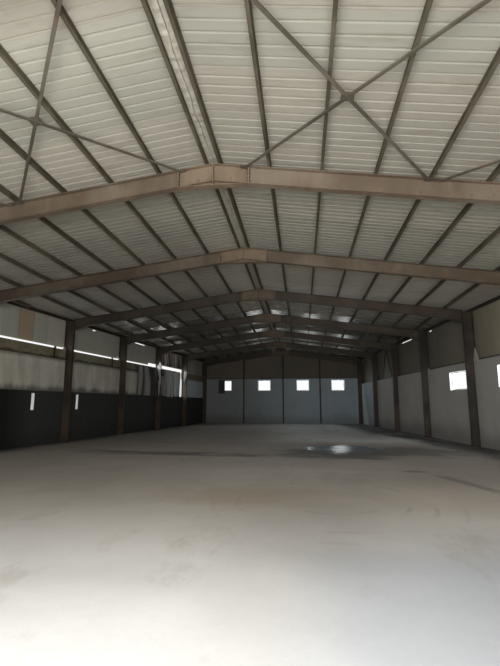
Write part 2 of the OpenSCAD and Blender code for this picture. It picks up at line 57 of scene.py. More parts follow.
# %% [markdown]
# Everything in a hall lines up with its frames, so a few measures say where all else goes. The boxes of the
# walls give the length and the taper of the plan. The slope, the eaves' height and the sizes of the sections
# are constants.

# %% Measures of the hall, in metres
BAYS = 8
WALL_OUT = 0.09             # the block walls' outer face, outside the cladding's inner face
WALL_PROUD = 0.11           # their inner face, inside it
GABLE_T = 0.2
END_GAP = 0.11              # from a gable's inner face to the middle of the end frame
COLUMN_D = 0.36
COLUMN_W = 0.15
RAFTER_D = 0.36
APEX_HALF = 0.7
PLATE_T = 0.015
PURLIN_FIRST = 1.1
PURLIN_GAP = 1.0
PURLIN_D = 0.12
PURLIN_COUNT = 9
RIB_PITCH = 0.19
RIB_TALL = 0.034            # top of a rib over the sheets' underside
RIB_SHIFT = 0.024           # from a rib's middle to the nearest even share of the pitch
SHEET_RIBS = 5              # ribs to a sheet
LEDGE_RIGHT = 3.07          # tops of the block walls over the floor
LEDGE_LEFT = 3.70
SLOPE = 0.14
EAVE_H = 4.925

floor_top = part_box("floor_slab")[1].z
gable_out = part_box("rear_wall")[1].y
gable_in = gable_out - GABLE_T
hall_l = 2 * (gable_in - END_GAP)
bay = hall_l / BAYS
front_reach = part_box("front_wall_right")[1].x
rear_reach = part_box("rear_wall")[1].x
taper = (front_reach - rear_reach) / (2 * gable_out)
middle_half = (front_reach + rear_reach) / 2 - WALL_OUT
print(f"hall {hall_l:.2f} m long, half width {middle_half:.2f} m in the middle, taper {taper:.4f}")


def half_at(y):
    """Half width between the claddings' inner faces: the middle's half width less the taper times y."""
    return middle_half - taper * y


def frame_y(n):
    """Place of a frame along the hall, counted from the front."""
    return n * bay - hall_l / 2


def rafter_top(x, y):
    """Height of the plane on the rafters, which rises from the eaves inward."""
    return floor_top + EAVE_H + SLOPE * (half_at(y) - np.abs(x))


def sheet_z(x, y):
    """Underside of the roof sheets: a purlin's depth over the rafters, measured upright."""
    return rafter_top(x, y) + PURLIN_D * math.hypot(1, SLOPE)


# %% [markdown]
# A finish is a small program that works out a colour, a roughness and a bump for each point of the surface.
# It could be a painted picture, but a hall this large would need a huge one, and close up it would still
# blur. A program has detail at every size. In Blender it is a tree of nodes, and a tree is easiest to read
# as arithmetic, so this class wraps a node's output and turns + - * / into Math nodes.

# %% Node maths
class Sock:
    """An output of a node. Arithmetic on it adds Math nodes to its finish."""

    def __init__(self, finish, link):
        self.finish, self.link = finish, link

    def _math(self, operation, a, b=None):
        inputs = {0: a} if b is None else {0: a, 1: b}
        return self.finish.node("ShaderNodeMath", {"operation": operation}, inputs)

    def __add__(self, other):
        return self._math("ADD", self, other)

    def __radd__(self, other):
        return self._math("ADD", other, self)

    def __sub__(self, other):
        return self._math("SUBTRACT", self, other)

    def __rsub__(self, other):
        return self._math("SUBTRACT", other, self)

    def __mul__(self, other):
        return self._math("MULTIPLY", self, other)

    def __rmul__(self, other):
        return self._math("MULTIPLY", other, self)

    def __truediv__(self, other):
        return self._math("DIVIDE", self, other)

    def abs(self):
        return self._math("ABSOLUTE", self)

    def floor(self):
        return self._math("FLOOR", self)

    def fract(self):
        return self._math("FRACT", self)

    def power(self, exponent):
        return self._math("POWER", self, exponent)

    def least(self, other):
        return self._math("MINIMUM", self, other)

    def most(self, other):
        return self._math("MAXIMUM", self, other)


print("Sock:", Sock.__doc__)

# %% [markdown]
# The second class holds the material itself and adds every other node through one method. Patterns read
# Object coordinates, which here are metres in the hall, so a stain can be put at its place on the floor.
# Generated coordinates would stretch a pattern with its piece, and a UV map would have to be unwrapped
# first.

# %% Finish
class Finish:
    """A procedural material: place is the point in metres, and node adds any node to it."""

    def __init__(self, name, specular=0.5):
        self.material = bpy.data.materials.new(name)
        self.material.use_nodes = True
        self.tree = self.material.node_tree
        self.shader = self.tree.nodes["Principled BSDF"]
        self.shader.inputs["Specular IOR Level"].default_value = specular
        coordinates = self.tree.nodes.new("ShaderNodeTexCoord")
        self.place = Sock(self, coordinates.outputs["Object"])
        self.x = self.node("ShaderNodeSeparateXYZ", {}, {0: self.place}, "X")
        self.y = Sock(self, self.x.link.node.outputs["Y"])
        self.z = Sock(self, self.x.link.node.outputs["Z"])
        self.bumps = None

    def node(self, kind, settings, inputs, out=0):
        """Adds a node: its settings or a ramp's stops first, then the values or links of its sockets."""
        made = self.tree.nodes.new(kind)
        for name, value in settings.items():
            if name == "stops":
                ramp = made.color_ramp.elements
                while len(ramp) < len(value):
                    ramp.new(0.5)
                for element, (position, colour) in zip(ramp, value):
                    element.position = position
                    element.color = (*colour, 1.0)
            else:
                setattr(made, name, value)
        for name, value in inputs.items():
            if isinstance(value, Sock):
                self.tree.links.new(value.link, made.inputs[name])
            elif isinstance(value, tuple) and len(value) == 3 and len(made.inputs[name].default_value) == 4:
                made.inputs[name].default_value = (*value, 1.0)
            else:
                made.inputs[name].default_value = value
        return Sock(self, made.outputs[out])

    def normal(self, axis):
        """One part of the direction that the surface faces."""
        direction = self.node("ShaderNodeNewGeometry", {}, {}, "Normal")
        return self.node("ShaderNodeSeparateXYZ", {}, {0: direction}, axis)

    def noise(self, scale, detail, stretch=(1, 1, 1), seed=0.0, rough=0.5):
        """Cloudy noise from about 0.2 to 0.8, with so many clouds to a metre along each axis."""
        point = self.node("ShaderNodeVectorMath", {"operation": "MULTIPLY_ADD"},
                          {0: self.place, 1: tuple(stretch), 2: (seed, seed * 1.7, seed * 2.3)})
        return self.node("ShaderNodeTexNoise", {},
                         {"Vector": point, "Scale": scale, "Detail": detail, "Roughness": rough})

    def step(self, value, low, high):
        """0 below low, 1 above high and a smooth rise between. With low over high it falls."""
        return self.node("ShaderNodeMapRange", {"interpolation_type": "SMOOTHSTEP"},
                         {"Value": value, "From Min": low, "From Max": high})

    def band(self, value, low, high, soft):
        """1 between low and high, with soft edges."""
        return self.step(value, low - soft, low + soft) * self.step(value, high + soft, high - soft)

    def chance(self, cell, seed=0.0):
        """One number from 0 to 1 for each whole number."""
        return self.node("ShaderNodeTexWhiteNoise", {"noise_dimensions": "1D"}, {"W": cell + seed})

    def joint(self, value, width):
        """1 on a line at each whole number of value, of that half width, and 0 beside it."""
        part = value.fract()
        return self.step(part.least(1.0 - part), width, 0.0)

    def patch(self, centre, radius, ragged=0.5, grain=1.6, seed=0.0, soft=0.25):
        """1 inside an ellipse on the floor whose edge is torn by noise."""
        dx = (self.x - centre[0]) / radius[0]
        dy = (self.y - centre[1]) / radius[1]
        reach = (dx * dx + dy * dy).power(0.5)
        torn = reach + (self.noise(grain, 4, seed=seed) - 0.5) * (2 * ragged)
        return self.step(torn, 1 + soft, 1 - soft)

    def mix(self, mask, first, second, blend="MIX"):
        """The first colour where the mask is 0 and the second where it is 1."""
        return self.node("ShaderNodeMix", {"data_type": "RGBA", "blend_type": blend},
                         {0: mask, 6: first, 7: second}, 2)

    def tone(self, colour, factor):
        """A colour made lighter or darker by a factor that varies."""
        grey = self.node("ShaderNodeCombineColor", {}, {0: factor, 1: factor, 2: factor})
        return self.mix(1.0, colour, grey, "MULTIPLY")

    def bump(self, height, depth):
        """Raises the surface by height times depth, in metres."""
        inputs = {"Height": height, "Strength": 1.0, "Distance": depth}
        if self.bumps is not None:
            inputs["Normal"] = self.bumps
        self.bumps = self.node("ShaderNodeBump", {}, inputs)

    def finish(self, colour, roughness, metallic=None):
        """Connects what varies to the shader, and returns the material."""
        values = {"Base Color": colour, "Roughness": roughness, "Metallic": metallic, "Normal": self.bumps}
        for name, value in values.items():
            if isinstance(value, Sock):
                self.tree.links.new(value.link, self.shader.inputs[name])
            elif value is not None:
                self.shader.inputs[name].default_value = value
        return self.material


print("Finish:", Finish.__doc__)

# %% [markdown]
# The frame's nodes already have their shapes, so a finish only has to be put on them. It takes the place of
# the plain material in each slot of a node, and several nodes can share one finish, as they share one paint
# in the hall.

# %% Dress
def dress(material, *names):
    """Puts a material on CAD nodes."""
    for name in names:
        slots = nodes[name].material_slots
        if slots:
            for place in slots:
                place.material = material
        else:
            nodes[name].data.materials.append(material)
    print(f"{material.name}: {', '.join(names)}")


print("shapes to dress:", sum(node.type == "MESH" for node in nodes.values()))

# %% [markdown]
# The floor is bare concrete after years of use. It could be one grey with noise, but an eye looks for a
# story there, so it is built up in layers, each a mask at its own place. First come the dry tones: brown and
# pale grey in broad clouds, a paler part by the doorway with painted pools of light and shade and a painted
# bluish shadow in its right corner, and pale dust far in, painted lighter on the right and darker on the
# left.

# %% Dry concrete
CONCRETE_BROWN = (0.47, 0.43, 0.385)
CONCRETE_PALE = (0.57, 0.54, 0.50)
DOOR_PALE = (0.66, 0.655, 0.645)
CORNER_SHADOW_BLUE = (0.475, 0.495, 0.505)
COOL_SHADOW_TINT = (0.84, 0.87, 0.93)
DRY_DUST = (0.66, 0.68, 0.66)


def near_tones(f, colour, broad):
    """Paler toward the doorway, with a painted bluish shadow in the right corner and painted pools of light
    and shade.
    """
    near_door = f.step(f.y + 3.0 * (broad - 0.5), -9.5, -13.5)
    colour = f.mix(near_door, colour, DOOR_PALE)
    # painted shadow: the right corner by the doorway is made bluish and cooler
    corner = f.step(f.x + 1.2 * (broad - 0.5), 1.2, 4.2) * f.step(f.y, -9.6, -12.6)
    colour = f.mix(corner * 0.75, colour, CORNER_SHADOW_BLUE)
    cool_shadow = f.step(f.x + 0.5 * (broad - 0.5), 1.3, 2.2) * f.step(f.y, -11.6, -12.4)
    colour = f.mix(cool_shadow, colour, COOL_SHADOW_TINT, "MULTIPLY")
    # painted light and shade: a pale pool of doorway light on the right and one nearer the door, a greyer
    # patch of shade between
    colour = f.tone(colour, 1.0 + 0.24 * f.step(f.x, 2.4, 3.8) * f.band(f.y, -11.2, -8.0, 0.8))
    colour = f.tone(colour, 1.0 + 0.13 * f.step(f.x, 1.3, 0.5) * f.step(f.y, -12.8, -13.4))
    return f.tone(colour, 1.0 - 0.14 * f.band(f.x, 1.0, 2.4, 0.5) * f.band(f.y, -12.4, -9.6, 0.5))


def far_dust_and_painted_light(f, colour, broad):
    """Dust far in, paler on the right, and painted light and shade: lighter on the right and a little darker
    on the left.
    """
    dry = f.step(f.y + 2.0 * (broad - 0.5), -0.5, 2.5)
    rightward = f.step(f.x + 0.10 * f.y, -0.5, 2.5)
    colour = f.mix(dry * rightward * 0.8, colour, DRY_DUST)
    # painted light and shade: the far floor is made lighter on the right, where window light falls, and
    # darker on the left
    return f.tone(colour, 1.0 + dry * (0.50 * rightward - 0.12))


print("dry concrete from", CONCRETE_BROWN, "to", DOOR_PALE)

# %% [markdown]
# Next come the marks of use: trodden dirt in patches that run along the hall, dark curved marks, and one
# brown stain. The curved marks could be drawn as curves, but rings round one point need only a distance, and
# noise breaks them up until they look rubbed.

# %% Marks on the floor
MARK_CENTRE = (2.1, -9.6)
TRODDEN_BROWN = (0.33, 0.29, 0.245)
MARK_DARK = (0.28, 0.25, 0.22)
STAIN_BROWN = (0.34, 0.25, 0.17)


def floor_marks(f, colour):
    """Trodden patches where noise is high, rings broken by noise round a centre, and a stain."""
    trodden = f.step(f.noise(1.1, 6, stretch=(1, 0.45, 1), seed=21, rough=0.7), 0.52, 0.68)
    colour = f.mix(trodden * 0.35, colour, TRODDEN_BROWN)
    dx = f.x - MARK_CENTRE[0]
    dy = f.y - MARK_CENTRE[1]
    ring = (dx * dx + dy * dy * 0.8).power(0.5)
    marks = f.joint(ring * 2.6 + 0.25 * f.noise(1.2, 2, seed=33), 0.16) * f.step(ring, 2.6, 1.2)
    marks = marks * f.step(ring, 0.35, 0.6) * f.step(f.noise(1.1, 4, seed=41), 0.50, 0.62)
    colour = f.mix(marks * 0.38, colour, MARK_DARK)
    stain = f.patch((0.7, -9.3), (1.3, 0.8), 0.6, seed=51, soft=0.5)
    return f.mix(stain * 0.45, colour, STAIN_BROWN)


print("curved marks round", MARK_CENTRE)

# %% [markdown]
# Last come the damp and the wet. Damp creeps in along both walls, and lies in a band across the floor and in
# small places on the right. Round the puddle in a low place it is darkest. The puddle could be a flat mirror
# with a cut edge, but that would look laid on, so one torn mask rules its colour, its roughness and its
# ripples.

# %% Damp and wet places
WET_DARK = (0.055, 0.060, 0.062)
PUDDLE_BLUE = (0.24, 0.29, 0.31)
# share, middle, reach, raggedness, grain, seed and softness of each small damp place
DAMP_PLACES = (
    (0.62, (5.2, -1.9), (1.7, 1.5), 0.8, 1.2, 81, 0.5),
    (0.70, (5.0, -2.3), (0.5, 0.22), 0.5, 2.0, 87, 0.25),
    (0.70, (6.2, -1.8), (0.7, 0.25), 0.6, 2.0, 89, 0.25),
    (0.55, (4.15, -6.3), (0.26, 0.12), 0.5, 3.0, 85, 0.5),
)


def wall_damp(f, torn):
    """Damp by the distance from each wall, torn by noise, and a band across the floor."""
    right_gap = half_at(f.y) - WALL_PROUD - f.x
    reach = 1.45 + 0.75 * f.step(f.y, 2.0, 8.0)
    streaks = f.noise(1.6, 5, stretch=(1, 0.3, 1), seed=63, rough=0.7)
    damp = f.step((right_gap + 0.9 * (torn - 0.5)) / reach, 1.25, 0.70) * f.step(f.y, -6.0, -2.5)
    damp = damp * (0.72 + 0.28 * f.step(streaks, 0.62, 0.42))
    left_gap = half_at(f.y) - WALL_PROUD + f.x
    damp = damp.most(0.7 * f.step(left_gap + 1.4 * (torn - 0.5), 0.6, 0.1))
    band = f.band(f.y + 0.08 * f.x + 0.7 * (torn - 0.5), -3.95, -3.05, 0.25) * f.band(f.x, -5.2, 4.0, 0.8)
    band = band * f.step(f.noise(1.3, 4, stretch=(0.4, 1, 1), seed=71), 0.30, 0.55)
    return damp.most(0.80 * band)


def small_damp(f, torn, damp):
    """The small places and a slanting streak, added to the damp."""
    for share, *place in DAMP_PLACES:
        damp = damp.most(share * f.patch(*place))
    slant = f.x - 4.66 + (f.y + 7.3) * 0.28
    streak = f.step(slant.abs() + 0.2 * (torn - 0.5), 0.22, 0.04) * f.band(f.y, -8.6, -6.8, 0.3)
    return damp.most(0.5 * streak)


print("small damp places:", len(DAMP_PLACES))

# %% [markdown]
# The floor's finish lays these on one another, from the broadest clouds to the wet, and adds the grain of
# the concrete as tone and as bump.

# %% Concrete floor
def worn_concrete():
    """Two greys in clouds, then the near and the dry tones, grain, marks and damp, each over the last."""
    f = Finish("worn_concrete", specular=0.35)
    broad = f.noise(0.16, 4, seed=3)
    cloud = f.noise(0.7, 5, seed=11, rough=0.6)
    fine = f.noise(9.0, 5, seed=5, rough=0.65)
    speck = f.noise(70.0, 3, seed=8)
    colour = f.mix(f.step(broad, 0.36, 0.66), CONCRETE_BROWN, CONCRETE_PALE)
    colour = far_dust_and_painted_light(f, near_tones(f, colour, broad), broad)
    colour = f.tone(colour, 0.80 + 0.32 * cloud + 0.10 * (fine - 0.5) + 0.10 * (speck - 0.5))
    colour = floor_marks(f, colour)
    torn = f.noise(0.9, 4, stretch=(1, 0.6, 1), seed=61)
    damp = small_damp(f, torn, wall_damp(f, torn))
    wet = f.patch((3.0, -1.35), (1.25, 1.30), 0.75, grain=1.5, seed=91, soft=0.16)
    damp = damp.most(0.8 * f.patch((2.9, -2.4), (1.7, 1.5), 0.5, seed=93, soft=0.3)).most(wet)
    colour = f.mix(damp * 0.90, colour, WET_DARK)
    colour = f.mix(wet * 0.8, colour, PUDDLE_BLUE)
    f.bump(fine * (1.0 - wet), 0.0008)
    f.bump(wet * f.noise(3.5, 4, stretch=(0.5, 1, 1), seed=107, rough=0.6), 0.020)
    return f.finish(colour, 0.70 + 0.2 * (fine - 0.5) - 0.12 * damp - 0.34 * wet)


dress(worn_concrete(), "floor_slab")

# %% [markdown]
# The steel was painted once and has gathered dust since. Columns, rafters, purlins and the pieces at the
# ridge have different paints. Each could have a tree of its own, but they age in the same way, so one recipe
# takes the paint's colour, the dust and the rust as values. Dust lies on what faces up, and rust comes in
# spots and drips. Two more values paint shade where little daylight reaches: they darken the columns' heads
# and darken and warm the columns far in, and they darken the frames far from the door and on the left.

# %% Painted steel
FADED = 0.35                # share of dust in the clouds
PAINT_ROUGH = 0.55
DUST = (0.29, 0.25, 0.20)
RUST = (0.22, 0.085, 0.035)
FAR_SHADE_OCHRE = (0.64, 0.51, 0.39)


def painted_steel(name, paint, dust, rust, rust_share, seed, shade_up=0.0, shade_back=0.0):
    """Paint in two tones, dust on upward faces and in clouds, and rust where noise is high."""
    f = Finish(name, specular=0.35)
    cloud = f.noise(0.9, 4, seed=seed)
    fine = f.noise(26.0, 4, seed=seed + 2, rough=0.7)
    drip = f.noise(5.0, 4, stretch=(1, 1, 0.12), seed=seed + 4)
    spot = f.noise(7.0, 6, seed=seed + 6, rough=0.7)
    dark, light = (tuple(share * part for part in paint) for share in (0.82, 1.15))
    colour = f.mix(f.step(cloud, 0.35, 0.68), dark, light)
    colour = f.tone(colour, 0.85 + 0.30 * drip + 0.12 * (fine - 0.5))
    on_top = f.step(f.normal("Z"), 0.3, 0.9) * 0.7
    settled = on_top.most(FADED * f.step(cloud + 0.4 * drip, 0.62, 0.86))
    colour = f.mix(settled, colour, dust)
    rusty = f.step(spot + 0.25 * drip, 0.80 - 0.20 * rust_share, 0.88 - 0.16 * rust_share)
    colour = f.mix(rusty * 0.8, colour, rust)
    if shade_up:
        # painted shade: the columns darken toward their heads, and far in they are darkened and warmed
        colour = f.tone(colour, 1.0 - shade_up * f.step(f.z - floor_top, 2.6, 4.6))
        far = f.step(f.y, -7.0, 1.0) * (0.42 + 0.58 * f.step(f.x, 1.0, -1.0))
        colour = f.mix(far, colour, FAR_SHADE_OCHRE, "MULTIPLY")
    if shade_back:
        # painted shade: the frames darken far from the door and on the left
        left = f.step(f.x, 1.0, -4.0) * f.step(f.y, -12.0, -5.0)
        colour = f.tone(colour, (1.0 - shade_back * f.step(f.y, -7.0, 0.5)) * (1.0 - 0.45 * left))
    f.bump(fine + 1.5 * rusty, 0.0012)
    return f.finish(colour, PAINT_ROUGH + 0.25 * settled + 0.15 * rusty)


print("dust", DUST, "and rust", RUST)

# %% [markdown]
# Five paints come out of the recipe. The columns are nearly black, the rafters and the pieces at the ridge
# are ochre, and the purlins and the crossed bars are olive. Each has its own seed, so no two of them are
# stained alike.

# %% Paints of the frames
column_steel = painted_steel("column_steel", (0.08, 0.07, 0.06), (0.19, 0.165, 0.135), RUST, 0.35, 1,
                             shade_up=0.45)
rafter_steel = painted_steel("rafter_steel", (0.19, 0.143, 0.10), DUST, RUST, 0.5, 13, shade_back=0.58)
apex_steel = painted_steel("apex_steel", (0.225, 0.165, 0.11), (0.29, 0.24, 0.175), RUST, 0.55, 25,
                           shade_back=0.35)
purlin_steel = painted_steel("purlin_steel", (0.10, 0.086, 0.056), (0.19, 0.165, 0.13), RUST, 0.3, 37)
brace_steel = painted_steel("brace_steel", (0.115, 0.10, 0.075), (0.20, 0.18, 0.14), RUST, 0.35, 49)
dress(column_steel, "left_columns", "right_columns", "left_eave_beam", "right_eave_beam", "rear_wall_posts",
      "front_wall_posts", "right_wall_rail", "rear_wall_rail", "right_wall_bracing", "front_door_frame")
dress(rafter_steel, "left_rafters", "right_rafters", "left_eave_haunches", "right_eave_haunches")
dress(apex_steel, "apex_pieces")
dress(purlin_steel, "left_purlins", "right_purlins", "ridge_purlins")
dress(brace_steel, "left_roof_bracing", "right_roof_bracing")

# %% [markdown]
# The roof is ribbed steel, pale inside. The ribs could be a bump, but they catch the light along the whole
# hall, so they are real shape in the frame. What the finish adds is what makes a roof of many sheets: each
# sheet, five ribs wide, has its own tone and shine, and dirt gathers in clouds and along the laps. It also
# paints light and shade: the ribs' flat tops are painted paler, the faces toward the door darker, and the
# left side lighter near the door. Far in, the steel still has its bare zinc and mirrors the daylight, and
# both sides are painted darker there as shade.

# %% Roof sheets
def roof_sheet():
    """A random tone and shine for each sheet, times clouds, with dirt, laps, paler crests (painted light) and
    painted shade mixed over.
    """
    f = Finish("roof_sheet", specular=0.3)
    ribs = f.y / RIB_PITCH
    sheet = (ribs / SHEET_RIBS).floor()
    side = f.step(f.x, -0.01, 0.01) * 57.0
    own = f.chance(sheet + side, 4.5)
    warm = f.chance(sheet + side, 91.5)
    cloud = f.noise(0.45, 4, seed=7, rough=0.6)
    dirt = f.noise(1.6, 5, stretch=(0.5, 2.0, 1), seed=17, rough=0.65)
    fine = f.noise(30.0, 3, seed=27)
    colour = f.mix(warm, (0.43, 0.42, 0.36), (0.46, 0.425, 0.36))
    colour = f.tone(colour, 0.80 + 0.16 * own + 0.24 * cloud + 0.05 * (fine - 0.5))
    colour = f.mix(f.step(dirt, 0.54, 0.74) * 0.35, colour, (0.25, 0.205, 0.15))
    lap = f.joint(ribs / SHEET_RIBS, 0.010)
    colour = f.mix(lap * 0.4, colour, (0.25, 0.21, 0.16))
    f.bump(f.noise(2.2, 2, stretch=(0.6, 1.6, 1), seed=47), 0.002)
    inside = f.step(f.normal("Z"), 0.3, -0.3)
    # painted shade: faces turned toward the door, which catch its light, are darkened
    door_face_shade = f.step(f.normal("Y"), -0.3, -0.7)
    colour = f.tone(colour, 1.0 - 0.17 * door_face_shade)
    # painted light: the ribs' flat tops inside are made paler, lifting the shade in their hollows
    crest = f.joint((f.y + RIB_SHIFT) / RIB_PITCH, 0.13)
    colour = f.tone(colour, 1.0 + 0.15 * crest * inside)
    # painted shade far in on the right; on the left, painted light near the door and painted shade further in
    colour = f.tone(colour, 1.0 - 0.35 * inside * f.step(f.y, 0.0, 6.0) * f.step(f.x, 2.0, 5.0))
    left = inside * f.step(f.x, 0.0, -2.0)
    colour = f.tone(colour, 1.0 + left * (0.14 * f.step(f.y, -8.0, -10.0) - 0.30 * f.step(f.y, -9.5, -4.5)))
    near = f.step(f.y, 3.0, -3.0)
    far = f.step(f.y, 7.0, 12.0)
    zinc = 0.75 * inside * f.step(f.y, -1.0, 7.0)
    return f.finish(colour, 0.15 + 0.14 * dirt + 0.08 * own + 0.25 * near + 0.13 * far, zinc)


dress(roof_sheet(), "left_roof_sheets", "right_roof_sheets")

# %% [markdown]
# The strip at the ridge and the trims on the gables are thinner sheet, folded by hand. They could share the
# roof's finish, but they have no laps, and they buckle, so they get a mottled pale one with a shallow bump.

# %% Ridge and trim sheets
def pale_sheet(name, base, seed):
    """Thin folded sheet, pale, with grime and stains in clouds and a shallow buckle."""
    f = Finish(name, specular=0.35)
    cloud = f.noise(2.4, 5, seed=seed, rough=0.65)
    grime = f.noise(6.0, 5, stretch=(1, 0.5, 1), seed=seed + 5)
    mottle = f.noise(11.0, 4, stretch=(1, 0.7, 1), seed=seed + 7, rough=0.7)
    colour = f.mix(f.step(mottle, 0.42, 0.60), (0.545, 0.50, 0.42), base)
    colour = f.tone(colour, 0.74 + 0.30 * cloud + 0.16 * mottle)
    colour = f.mix(f.step(grime, 0.54, 0.70) * 0.5, colour, (0.26, 0.22, 0.16))
    f.bump(f.noise(5.0, 3, seed=seed + 9), 0.006)
    return f.finish(colour, 0.35 + 0.3 * cloud)


ridge_sheet = pale_sheet("ridge_sheet", (0.56, 0.54, 0.465), 3)
dress(ridge_sheet, "ridge_cap", "front_verge_trim", "rear_verge_trim")

# %% [markdown]
# The lower walls are blocks under paint. A picture of blocks would repeat, and real gaps would cost
# thousands of faces. The courses are faint, so they are a bump and a trace of tone at their real size, 0.4 m
# by 0.2 m, with a random tone for each block. Damp has darkened the foot. The side walls run along y and the
# gables along x, so the recipe takes the direction as a value. The openings' inner faces are pale, and so is
# the last bay on the right, with a slanting strip of painted light. The rear gable carries painted shade on
# its left and painted light, bluer, on its right.

# %% Block walls
COURSE = 0.2
BLOCK = 0.4
WALL_T = 0.2
REVEAL_EDGE = (0.004, 0.010)    # from the walls' faces
REVEAL_PALE = (0.9, 0.9, 0.9)
OUTSIDE_GREY = (0.36, 0.35, 0.33)
SLANT_Y = 17.0                  # the slanting strip of light, half a metre up
SLANT_RUN = 0.42                # along the wall for each metre up
GABLE_LEFT_SHADE = (0.68, 0.67, 0.66)
GABLE_RIGHT_LIGHT = (1.14, 1.26, 1.34)


def block_wall(name, along, base, foot, seed, rear=0.0, holes=None, specular=0.3, shade_near=0.0):
    """Painted blocks: a bond of courses and a tone for each block, with clouds, drips and a damp foot."""
    f = Finish(name, specular=specular)
    run = f.y if along == "y" else f.x
    high = f.z - floor_top
    row = high / COURSE
    shift = (row.floor() * 0.5).fract()
    col = run / BLOCK + shift
    mortar = f.joint(row, 0.045).most(f.joint(col, 0.022))
    own = f.chance(row.floor() * 13.0 + col.floor() * 7.0, seed)
    cloud = f.noise(0.55, 5, seed=seed + 1, rough=0.6)
    drip = f.noise(3.2, 4, stretch=(1, 1, 0.10), seed=seed + 3)
    fine = f.noise(24.0, 4, seed=seed + 5, rough=0.7)
    colour = f.tone(base, 0.78 + 0.30 * cloud + 0.16 * drip + 0.05 * own + 0.10 * (fine - 0.5))
    colour = f.mix(f.step(high + 0.9 * (cloud - 0.5), 0.9, 0.1) * 0.65, colour, foot)
    colour = f.mix(mortar * 0.10, colour, (0.20, 0.19, 0.17))
    if shade_near:
        colour = f.tone(colour, 1.0 - shade_near * f.step(f.y, -1.5, -3.5))
    if rear:
        pale = f.step(f.y, rear - 0.1, rear + 0.1)
        colour = f.mix(pale * 0.9, colour, (0.43, 0.49, 0.51))
        # painted light: a pale slanting strip of daylight across the last bay on the right
        lean = f.y - SLANT_Y - (high - 0.5) * SLANT_RUN
        painted_light_strip = f.band(lean + 0.3 * (cloud - 0.5), -0.65, 0.85, 0.35) * pale
        colour = f.mix(painted_light_strip, colour, (0.94, 1.0, 1.0))
    if along == "x":
        # painted light and shade: the rear gable is darkened on its left and made lighter and bluer on its
        # right
        gable_light_shade = f.mix(f.step(f.x, -5.0, 5.0), GABLE_LEFT_SHADE, GABLE_RIGHT_LIGHT)
        colour = f.mix(f.step(f.y, -1.0, 1.0), colour, gable_light_shade, "MULTIPLY")
    if holes:
        start, full = REVEAL_EDGE
        outward = f.x.abs() - (middle_half - WALL_PROUD) + taper * f.y
        within = f.step(outward, start, full) * f.step(outward, WALL_T - start, WALL_T - full)
        colour = f.mix(within * f.band(high, *holes, 0.004), colour, REVEAL_PALE)
        colour = f.mix(f.step(outward, WALL_T - full, WALL_T - start), colour, OUTSIDE_GREY)
    f.bump(fine - 0.8 * mortar, 0.002)
    return f.finish(colour, 0.75 + 0.15 * (fine - 0.5))


print(f"blocks {BLOCK} m long in courses of {COURSE} m")

# %% [markdown]
# Three walls come out of it: warm grey on the right, blue grey on the gables and nearly black on the left,
# where the paint is dark and dull.

# %% Paints of the block walls
WALL_GREY = (0.475, 0.46, 0.43)
WALL_BLUE = (0.375, 0.40, 0.415)
FOOT = (0.22, 0.21, 0.20)
WINDOW_SPAN = (2.055, 2.785)    # low and high edge of the right windows over the floor
SLIT_SPAN = (1.285, 1.905)      # of the slits in the left wall
dress(block_wall("right_blocks", "y", WALL_GREY, FOOT, 2, rear=frame_y(7), holes=WINDOW_SPAN),
      "right_lower_wall")
dress(block_wall("gable_blocks", "x", WALL_BLUE, FOOT, 9), "rear_wall", "front_wall_left", "front_wall_right")
dress(block_wall("dark_blocks", "y", (0.050, 0.052, 0.050), (0.04, 0.04, 0.04), 23, holes=SLIT_SPAN,
                 specular=0.10, shade_near=0.65), "left_lower_wall")

# %% [markdown]
# Above the blocks the walls are smooth upright panels. Their joints show as thin lines, and no two panels
# are quite alike, because they were laid at different times. Each panel could be a piece of its own. But the
# whole wall is one flat layer in the frame, and the panel's number, the place along the wall over the pitch,
# rounded down, is enough to give each a tone. The left wall's are pale and greenish, and one strip is plain
# buff board. The right wall's are warmer near the door and carry painted shade far in, and the gables' are
# dark.

# %% Upper cladding
PANEL = 1.15


def cladding(name, along, base, shade, seed, buff=None, near=None):
    """Upright panels: a joint each PANEL metres, a tone for each, and long drips from the eave."""
    f = Finish(name, specular=0.35)
    run = f.y if along == "y" else f.x
    count = run / PANEL
    own = f.chance(count.floor(), seed)
    cloud = f.noise(0.6, 4, seed=seed + 1)
    drip = f.noise(4.0, 4, stretch=(1, 1, 0.08), seed=seed + 3, rough=0.6)
    fine = f.noise(30.0, 3, seed=seed + 5)
    colour = f.mix(own * 0.7, base, shade)
    colour = f.tone(colour, 0.72 + 0.30 * cloud + 0.24 * drip + 0.06 * (fine - 0.5))
    if near:
        warm = f.tone((0.52, 0.455, 0.335), 0.62 + 0.4 * cloud + 0.3 * drip)
        # painted shade: the right wall's panels darken far from the door
        colour = f.tone(colour, 1.0 - 0.3 * f.step(f.y, 0.0, 5.0))
        colour = f.mix(f.step(f.y, near[1], near[0]), colour, warm)
    line = f.joint(count, 0.008)
    colour = f.mix(line * 0.55, colour, (0.08, 0.07, 0.055))
    if buff:
        colour = f.mix(f.band(f.y, *buff, 0.012), colour, (0.42, 0.335, 0.235))
        edges = [f.band(f.y, start, start + 0.03, 0.01) for start in (buff[0] - 0.03, buff[1])]
        colour = f.mix(edges[0].most(edges[1]) * 0.6, colour, (0.12, 0.10, 0.08))
    f.bump(0.3 * fine - 1.5 * line, 0.003)
    return f.finish(colour, 0.5 + 0.2 * drip)


dress(cladding("left_panels", "y", (0.48, 0.47, 0.40), (0.40, 0.40, 0.35), 5, buff=(-2.66, -1.95)),
      "left_upper_cladding")
dress(cladding("right_panels", "y", (0.25, 0.23, 0.17), (0.205, 0.19, 0.145), 15, near=(-3.5, 0.5)),
      "right_upper_cladding")
dress(cladding("gable_panels", "x", (0.148, 0.124, 0.095), (0.123, 0.107, 0.085), 25),
      "rear_upper_cladding", "front_upper_cladding")
